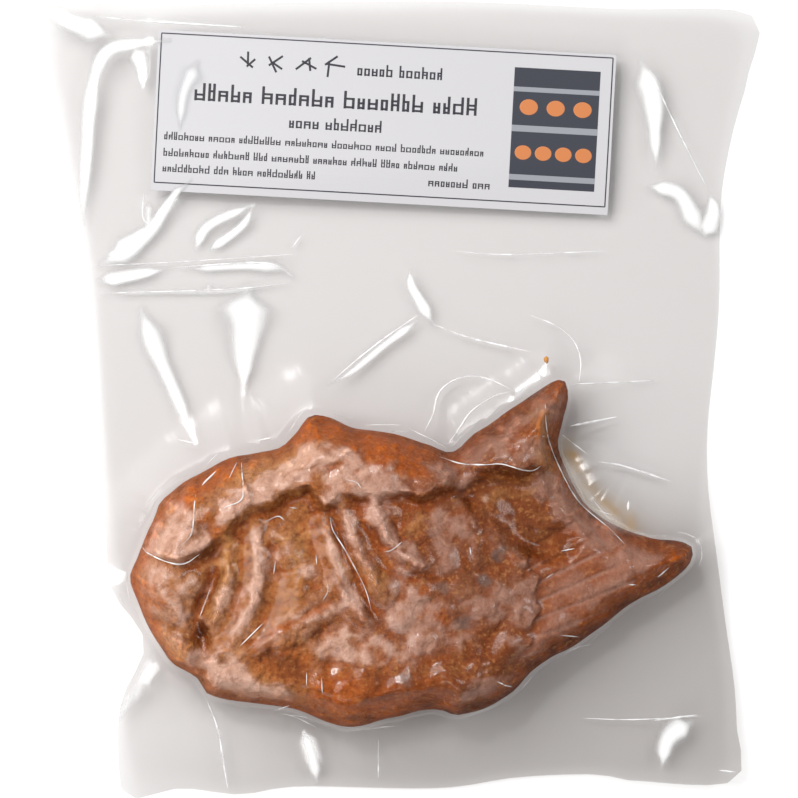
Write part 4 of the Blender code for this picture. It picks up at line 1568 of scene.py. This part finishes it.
    def front(self, label: "PaperLabel") -> tuple[np.ndarray, ...]:
        """Works out the front film on the grid.

        Args:
            label: the card that the film covers.

        Returns:
            The film's heights, its milkiness with its painted glare, and its shine.
        """
        places = self.grid.places()
        away = self.seam_distance(places)
        height = self.level(places, away) + self.thickness / 2
        over = away == 0.0
        height[over] = self.crust.grid.look_up(self.crust.above, places[over]) + self.cling
        height += label.bulge(places)
        y = places[:, 1]
        low, high = self.weld
        border = self.weld_border
        welded = smooth_step(low - border, low + border, y)
        welded *= smooth_step(high + border, high - border, y)
        height += self.weld_rise * welded
        loose = smooth_step(0.0, self.bridging_border, away)
        on_cake, beside = (self._bridged(height, *how) for how in self.bridging)
        height = (1 - loose) * on_cake + loose * beside
        height += self._tension(places, away)
        milk = np.zeros(len(places))
        shine = self.shine_on_cake + (self.shine_beside - self.shine_on_cake) * smooth_step(
            0.0, self.shine_border, away
        )
        for crease in self.creases:
            crease.lay(places, height, milk, shine)
        skirt = smooth_step(*self.skirt, away) * (away > 0)
        milk = np.maximum(milk, self.skirt_milk * skirt)
        return height, milk, shine

    def _painted_shade(self, places: np.ndarray) -> np.ndarray:
        """How dark the painted shade and contact shadow make the film, 0 over the cake."""
        direction, start, end = self.painted_shade
        away = self.seam_distance(places)
        towards = places @ np.array(direction)
        strength, reach, border = self.painted_contact_shadow
        beside = strength * smooth_step(0.0, start, towards) * np.exp(-((away / reach) ** 2))
        return (smooth_step(start, end, towards) + beside) * smooth_step(0.0, border, away)

    def _stain(self, places: np.ndarray) -> np.ndarray:
        """How much batter there is between the films at each place, 0 over the cake."""
        total = sum(stain.height(places) for stain in self.stains)
        total *= patchy(places, *self.stain_patches)
        return np.clip(total, 0, 1) * (self.seam_distance(places) > 0)

    def _beside_seam(self) -> list[Pinch]:
        """The folds that follow the cake's seam a little way out from it."""
        seam = self.crust.outline
        along = np.roll(seam, -1, 0) - np.roll(seam, 1, 0)
        normal = np.column_stack([along[:, 1], -along[:, 0]])
        normal /= np.linalg.norm(normal, axis=1)[:, None]
        x, y = seam.T
        normal *= np.sign(np.sum(x * np.roll(y, -1) - y * np.roll(x, -1)))
        spacing = np.linalg.norm(seam - np.roll(seam, 1, 0), axis=1).mean()
        draw = random.Random(self.seam_fold_seed)
        found = []
        for _ in range(self.seam_folds):
            count = max(3, int(draw.uniform(*self.seam_fold_length) / spacing))
            first = draw.randrange(len(seam))
            span = np.arange(first, first + count) % len(seam)
            near, far = (draw.uniform(*self.seam_fold_out) for _ in range(2))
            out = np.linspace(near, far, count)[:, None]
            route = seam[span] + normal[span] * out
            found.append(Pinch(tuple(map(tuple, route)), draw.uniform(*self.seam_fold_width)))
        return found

    def _folds(self, height: np.ndarray) -> bpy.types.Object:
        """The pinched folds with their painted glints, all in one piece on the front film."""
        mesh = bmesh.new()
        for pinch in (*self.pinches, *self._beside_seam()):
            pinch.add(mesh, self.grid, height)
        bmesh.ops.recalc_face_normals(mesh, faces=mesh.faces[:])
        piece = as_piece("film_glint_folds", mesh, FoldFinish().material())
        piece.data.shade_smooth()
        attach(piece, BODY)
        return piece

    def _sheet(self, name: str, grid: Grid, finish: bpy.types.Material) -> bpy.types.Object:
        """A flat sheet of film cut to the bag's edge."""
        mesh = flat_grid(grid)
        trimmed(mesh, self.edge, grid.step)
        piece = as_piece(name, mesh, finish)
        piece.data.shade_smooth()
        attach(piece, BODY)
        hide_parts("vacuum_bag")
        return piece

    def make(self, label: "PaperLabel") -> list[bpy.types.Object]:
        """Builds the front film in two halves that meet on the weld, the back film and the folds."""
        finish = FilmFinish().material()
        height, milk, shine = self.front(label)
        (left, bottom), (right, top) = self.grid.low, self.grid.high
        halves = {
            "film_front_lower": Grid((left, bottom), (right, self.seam_line), self.step),
            "film_front_upper": Grid((left, self.seam_line), (right, top), self.step),
        }
        pieces = []
        for name, grid in halves.items():
            piece = self._sheet(name, grid, finish)
            corners = corners_of(piece)
            corners[:, 2] = self.grid.look_up(height, corners[:, :2])
            set_corners(piece, corners)
            places = corners[:, :2]
            carry(piece, "milk", self.grid.look_up(milk, places))
            carry(piece, "shine", self.grid.look_up(shine, places))
            carry(piece, "painted_shade", self._painted_shade(places))
            carry(piece, "stain", self._stain(places))
            pieces.append(piece)
        back = self._sheet("film_back", Grid(self.grid.low, self.grid.high, self.back_step), finish)
        corners = corners_of(back)
        places = corners[:, :2].copy()
        away = self.seam_distance(places)
        under = self.level(places, away) - self.thickness / 2
        over = away == 0.0
        lower = self.crust.grid.look_up(self.crust.below, places[over]) - self.crust.lift
        under[over] = np.minimum(lower, self.crust.seam_level)
        corners[:, 2] = np.maximum(under, 0.0)
        set_corners(back, corners)
        carry(back, "shine", np.full(len(corners), self.shine_behind))
        for name in ("milk", "painted_shade", "stain"):
            carry(back, name, np.zeros(len(corners)))
        back.data.flip_normals()
        return [*pieces, back, self._folds(height)]


@dataclass
class PaperLabel:
    """The paper card in the bag's pocket, with a generic print of bars and plain shapes."""

    bag: VacuumBag | None = None
    length: float = 0.1145
    height: float = 0.0400
    thickness: float = 0.00035
    middle: tuple[float, float] = (-0.0040, 0.0690)
    tilt: float = math.radians(-3.1)
    float_above: float = 0.00078
    cover: float = 0.00025
    cut: float = 0.0020
    ink_rise: float = 0.00003
    bulge_reach: float = 0.0030
    paper: tuple = (0.69, 0.69, 0.715, 1.0)
    ink: tuple = (0.040, 0.040, 0.052, 1.0)
    seed: int = 7
    # A letter-like mark has two uprights and two bars. In shares of a line's height: the spans
    # of a word's length and a mark's width, its stroke, how high its uprights and bars are, how
    # thin a bar is, and the gaps after a mark and a word
    word_length: tuple = (1.8, 5.5)
    mark_width: tuple = (0.38, 0.62)
    mark_stroke: float = 0.15
    uprights: tuple = (0.62, 0.62, 0.62, 1.0)
    bars: tuple = (0.08, 0.34, 0.56)
    thin: float = 0.8
    gaps: tuple = (0.16, 0.42)
    # Lines of print: left and right end, level of the line's middle, height of its bars
    lines: tuple = (
        ((-0.0072, 0.0135), 0.0128, 0.0030),
        ((-0.0475, 0.0225), 0.0051, 0.0044),
        ((-0.0235, 0.0005), -0.0012, 0.0030),
        ((-0.0545, 0.0262), -0.0062, 0.0020),
        ((-0.0545, 0.0190), -0.0103, 0.0020),
        ((-0.0545, -0.0165), -0.0142, 0.0020),
        ((0.0120, 0.0262), -0.0142, 0.0022),
    )
    # Large signs made of three crossed strokes: where each starts, its level and its size
    signs: tuple = ((-0.0370, -0.0302, -0.0232, -0.0164), 0.0137, 0.0056)
    # The spans of the turns of a sign's strokes, of their shifts and of their lengths
    sign_turns: tuple = ((-0.9, 0.2), (0.5, 1.2), (1.5, 2.2))
    sign_shift: tuple = (-0.22, 0.22)
    sign_length: tuple = (0.5, 0.9)
    stroke: float = 0.00052
    border: float = 0.00030
    border_inset: tuple = (0.0008, 0.0020)
    # The picture: middle and size of its field, its bands and its discs
    picture: tuple = ((0.0428, 0.0006), (0.0215, 0.0300))
    bands: tuple = (
        ((0.0428, 0.0102), (0.0215, 0.0012)), ((0.0428, 0.0004), (0.0215, 0.0016)),
        ((0.0428, -0.0118), (0.0215, 0.0014)),
    )
    # Each row of discs: its level, how many and their radius
    disc_rows: tuple = ((0.0058, 3, 0.0023), (-0.0056, 4, 0.0021))
    # How much of the picture a row spans, a disc's height against its width, its upper rim
    # against its lower one, and its number of sides
    row_share: float = 0.94
    disc_height: float = 0.86
    disc_rim: float = 0.92
    disc_sides: int = 20
    picture_colours: dict = field(default_factory=lambda: {
        "field": (0.045, 0.050, 0.070, 1.0), "bands": (0.36, 0.38, 0.42, 1.0),
        "discs": (0.72, 0.25, 0.08, 1.0),
    })

    def turned(self, flat: np.ndarray) -> np.ndarray:
        """Places on the card as places in the model, seen from above."""
        turn = np.array([
            [math.cos(self.tilt), math.sin(self.tilt)],
            [-math.sin(self.tilt), math.cos(self.tilt)],
        ])
        return flat @ turn + self.middle

    def flat(self, places: np.ndarray) -> np.ndarray:
        """Places in the model as places on the card."""
        turn = np.array([
            [math.cos(self.tilt), -math.sin(self.tilt)],
            [math.sin(self.tilt), math.cos(self.tilt)],
        ])
        return (places - self.middle) @ turn

    def bulge(self, places: np.ndarray) -> np.ndarray:
        """How far the card lifts the film above it."""
        past = np.abs(self.flat(places)) - np.array([self.length, self.height]) / 2
        away = np.hypot(*np.maximum(past, 0.0).T)
        lift = self.float_above + self.thickness + self.cover - self.bag.thickness / 2
        return lift * np.exp(-((away / self.bulge_reach) ** 2))

    def _bent(self, piece: bpy.types.Object) -> None:
        """Bends a piece made on the flat card as the pocket is bent."""
        corners = corners_of(piece)
        places = self.turned(corners[:, :2])
        level = self.bag.level(places, self.bag.seam_distance(places))
        set_corners(piece, np.column_stack([places, level + self.float_above + corners[:, 2]]))
        piece.data.shade_flat()
        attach(piece, BODY)

    def _slab(
        self, mesh: bmesh.types.BMesh, middle: tuple, size: tuple, base: float, rise: float
    ) -> None:
        """Adds a thin flat slab with enough cuts to bend.

        Args:
            mesh: what it is added to.
            middle: the slab's middle on the card.
            size: its length and height.
            base: its underside above the card's underside.
            rise: its thickness.
        """
        spread = Matrix.Translation((*middle, base)) @ Matrix.Diagonal((*size, 1.0, 1.0))
        cuts = [max(1, math.ceil(side / self.cut)) for side in size]
        corners = bmesh.ops.create_grid(
            mesh, x_segments=cuts[0], y_segments=cuts[1], size=0.5, matrix=spread
        )["verts"]
        faces = list({face for corner in corners for face in corner.link_faces})
        raised = bmesh.ops.extrude_face_region(mesh, geom=faces)["geom"]
        top = [part for part in raised if isinstance(part, bmesh.types.BMVert)]
        bmesh.ops.translate(mesh, verts=top, vec=(0.0, 0.0, rise))
        bmesh.ops.recalc_face_normals(mesh, faces=mesh.faces[:])

    def _card(self) -> bpy.types.Object:
        """The card itself."""
        mesh = bmesh.new()
        self._slab(mesh, (0.0, 0.0), (self.length, self.height), 0.0, self.thickness)
        piece = as_piece("label_card", mesh, PlainFinish("paper", self.paper, 0.55).material())
        self._bent(piece)
        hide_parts("label")
        return piece

    def _print(self, name: str, mesh: bmesh.types.BMesh, colour: tuple) -> bpy.types.Object:
        """Makes a piece of the print in one colour."""
        piece = as_piece(name, mesh, PlainFinish(name, colour, 0.5).material())
        self._bent(piece)
        return piece

    def _ink(self) -> bpy.types.Object:
        """Bars in words and lines, large signs of plain strokes, and a thin border."""
        mesh = bmesh.new()
        draw = random.Random(self.seed)

        def bar(middle: tuple, size: tuple, turn: float = 0.0) -> None:
            """Prints one bar on the card."""
            place = Matrix.Translation((*middle, self.thickness + self.ink_rise / 2))
            place @= Matrix.Rotation(turn, 4, "Z")
            cuts = max(1, math.ceil(max(size) / self.cut))
            along = 0 if size[0] >= size[1] else 1
            for number in range(cuts):
                part = list(size)
                part[along] /= cuts
                shift = [0.0, 0.0, 0.0]
                shift[along] = size[along] * ((number + 0.5) / cuts - 0.5)
                at = place @ Matrix.Translation(shift) @ Matrix.Diagonal((*part, self.ink_rise, 1.0))
                bmesh.ops.create_cube(mesh, size=1.0, matrix=at)

        after_mark, after_word = self.gaps
        for (left, right), level, tall in self.lines:
            at = left
            stroke = tall * self.mark_stroke
            low = level - tall / 2
            while at < right:
                word_end = min(at + tall * draw.uniform(*self.word_length), right)
                while at < word_end:
                    wide = tall * draw.uniform(*self.mark_width)
                    for side in (0.0, wide - stroke):
                        high = tall * draw.choice(self.uprights)
                        bar((at + side + stroke / 2, low + high / 2), (stroke, high))
                    for part in draw.sample(self.bars, 2):
                        middle = (at + wide / 2, low + part * tall)
                        bar(middle, (wide - stroke, stroke * self.thin))
                    at += wide + tall * after_mark
                at += tall * after_word
        starts, level, size = self.signs
        for start in starts:
            for turn in [draw.uniform(*span) for span in self.sign_turns]:
                shift = Vector([draw.uniform(*self.sign_shift) for _ in range(2)]) * size
                middle = (start + size / 2 + shift.x, level + shift.y)
                bar(middle, (size * draw.uniform(*self.sign_length), self.stroke), turn)
        half_long, half_high = self.length / 2, self.height / 2
        top_inset, foot_inset = self.border_inset
        for level in (half_high - top_inset, -half_high + foot_inset):
            bar((0.0, level), (self.length - 2 * top_inset, self.border))
        middle = (foot_inset - top_inset) / 2
        for at in (-half_long + top_inset, half_long - top_inset):
            bar((at, middle), (self.border, self.height - top_inset - foot_inset))
        return self._print("label_ink", mesh, self.ink)

    def _picture(self) -> list[bpy.types.Object]:
        """A plain picture: a dark field with pale bands and rows of round cakes."""
        meshes = {name: bmesh.new() for name in self.picture_colours}
        self._slab(meshes["field"], *self.picture, self.thickness, self.ink_rise)
        base = self.thickness + self.ink_rise
        for middle, size in self.bands:
            self._slab(meshes["bands"], middle, size, base, self.ink_rise)
        (centre, _), (wide, _) = self.picture
        for level, count, radius in self.disc_rows:
            for number in range(count):
                across = centre + wide * ((number + 0.5) / count - 0.5) * self.row_share
                place = Matrix.Translation((across, level, base + self.ink_rise / 2))
                bmesh.ops.create_cone(
                    meshes["discs"], cap_ends=True, segments=self.disc_sides, radius1=radius,
                    radius2=radius * self.disc_rim, depth=self.ink_rise,
                    matrix=place @ Matrix.Diagonal((1.0, self.disc_height, 1.0, 1.0)),
                )
        return [
            self._print(f"label_picture_{name}", mesh, self.picture_colours[name])
            for name, mesh in meshes.items()
        ]

    def make(self) -> list[bpy.types.Object]:
        """Builds the card and its print."""
        return [self._card(), self._ink(), *self._picture()]


@dataclass
class Crumb:
    """A crumb of golden batter caught between the films above the tail."""

    bag: VacuumBag
    place: tuple[float, float] = (0.0367, 0.0097)
    half_sizes: tuple[float, float, float] = (0.00060, 0.00085, 0.00045)
    # How dented it is, and the size of its dents
    dents: tuple[float, float] = (0.35, 0.0005)
    batter: tuple = (0.58, 0.24, 0.03, 1.0)

    def make(self) -> bpy.types.Object:
        """Builds the crumb where the films pass over and under it."""
        where = np.array([self.place])
        level = self.bag.level(where, self.bag.seam_distance(where))[0]
        mesh = bmesh.new()
        spread = Matrix.Translation((*self.place, level)) @ Matrix.Diagonal((*self.half_sizes, 1.0))
        bmesh.ops.create_icosphere(mesh, subdivisions=3, radius=1.0, matrix=spread)
        middle = Vector((*self.place, level))
        share, size = self.dents
        for vertex in mesh.verts:
            dent = 1 + share * noise.noise(vertex.co / size)
            vertex.co = middle + (vertex.co - middle) * dent
        piece = as_piece("crumb", mesh, PlainFinish("batter", self.batter, 0.5).material())
        piece.data.shade_smooth()
        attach(piece, BODY)
        return piece


@dataclass(frozen=True)
class Studio:
    """A plain pale floor, soft lights and the camera straight above."""

    camera_height: float = 0.80
    aim: tuple[float, float] = (-0.000126, -0.000126)
    lens: float = 143.6
    sensor: float = 36.0
    floor_size: float = 3.0
    floor_level: float = -0.0003
    floor: PlainFinish = PlainFinish("table_top", (0.96, 0.96, 0.96, 1.0), 0.7)
    # Soft lights: place, width, height, power in watts
    lights: tuple = (
        ((-0.40, 0.42, 0.62), 0.60, 0.45, 5.2),
        ((-0.62, -0.04, 0.52), 0.22, 0.80, 2.5),
        ((0.58, 0.20, 0.70), 0.25, 0.35, 1.7),
        ((-0.22, 0.34, 0.70), 0.05, 0.05, 0.7),
        ((-0.25, -0.55, 0.55), 0.50, 0.30, 1.2),
    )
    fill: float = 0.38

    def make(self) -> bpy.types.Object:
        """Builds the floor, the lights and the camera. Returns the floor."""
        mesh = bmesh.new()
        bmesh.ops.create_grid(mesh, x_segments=1, y_segments=1, size=self.floor_size / 2)
        bmesh.ops.translate(mesh, verts=mesh.verts[:], vec=(0.0, 0.0, self.floor_level))
        floor = as_piece("floor", mesh, self.floor.material())
        for number, (place, width, height, power) in enumerate(self.lights):
            light = bpy.data.lights.new(f"softbox_{number}", "AREA")
            light.shape = "RECTANGLE"
            light.size, light.size_y, light.energy = width, height, power
            lamp = bpy.data.objects.new(light.name, light)
            lamp.location = place
            lamp.rotation_euler = Vector(place).to_track_quat("Z", "Y").to_euler()
            bpy.context.scene.collection.objects.link(lamp)
        world = bpy.data.worlds.new("studio")
        world.use_nodes = True
        sky = world.node_tree.nodes["Background"]
        sky.inputs["Color"].default_value = (1.0, 1.0, 1.0, 1.0)
        sky.inputs["Strength"].default_value = self.fill
        bpy.context.scene.world = world
        lens = bpy.data.cameras.new("camera")
        lens.lens, lens.sensor_width = self.lens, self.sensor
        camera = bpy.data.objects.new("camera", lens)
        camera.location = (*self.aim, self.camera_height)
        bpy.context.scene.collection.objects.link(camera)
        bpy.context.scene.camera = camera
        bpy.context.scene.view_settings.view_transform = "Standard"
        return floor


def main() -> None:
    """Builds every piece in order."""
    logging.basicConfig(level=logging.INFO, format="%(message)s")
    log = logging.getLogger("scene")
    Studio().make()
    crust = Crust()
    pieces = [crust.make()]
    bag = VacuumBag(crust)
    label = PaperLabel(bag)
    pieces += label.make()
    pieces += bag.make(label)
    pieces.append(Crumb(bag).make())
    for piece in pieces:
        piece.data.calc_loop_triangles()
        log.info("%s: %d triangles", piece.name, len(piece.data.loop_triangles))


if __name__ == "__main__":
    main()
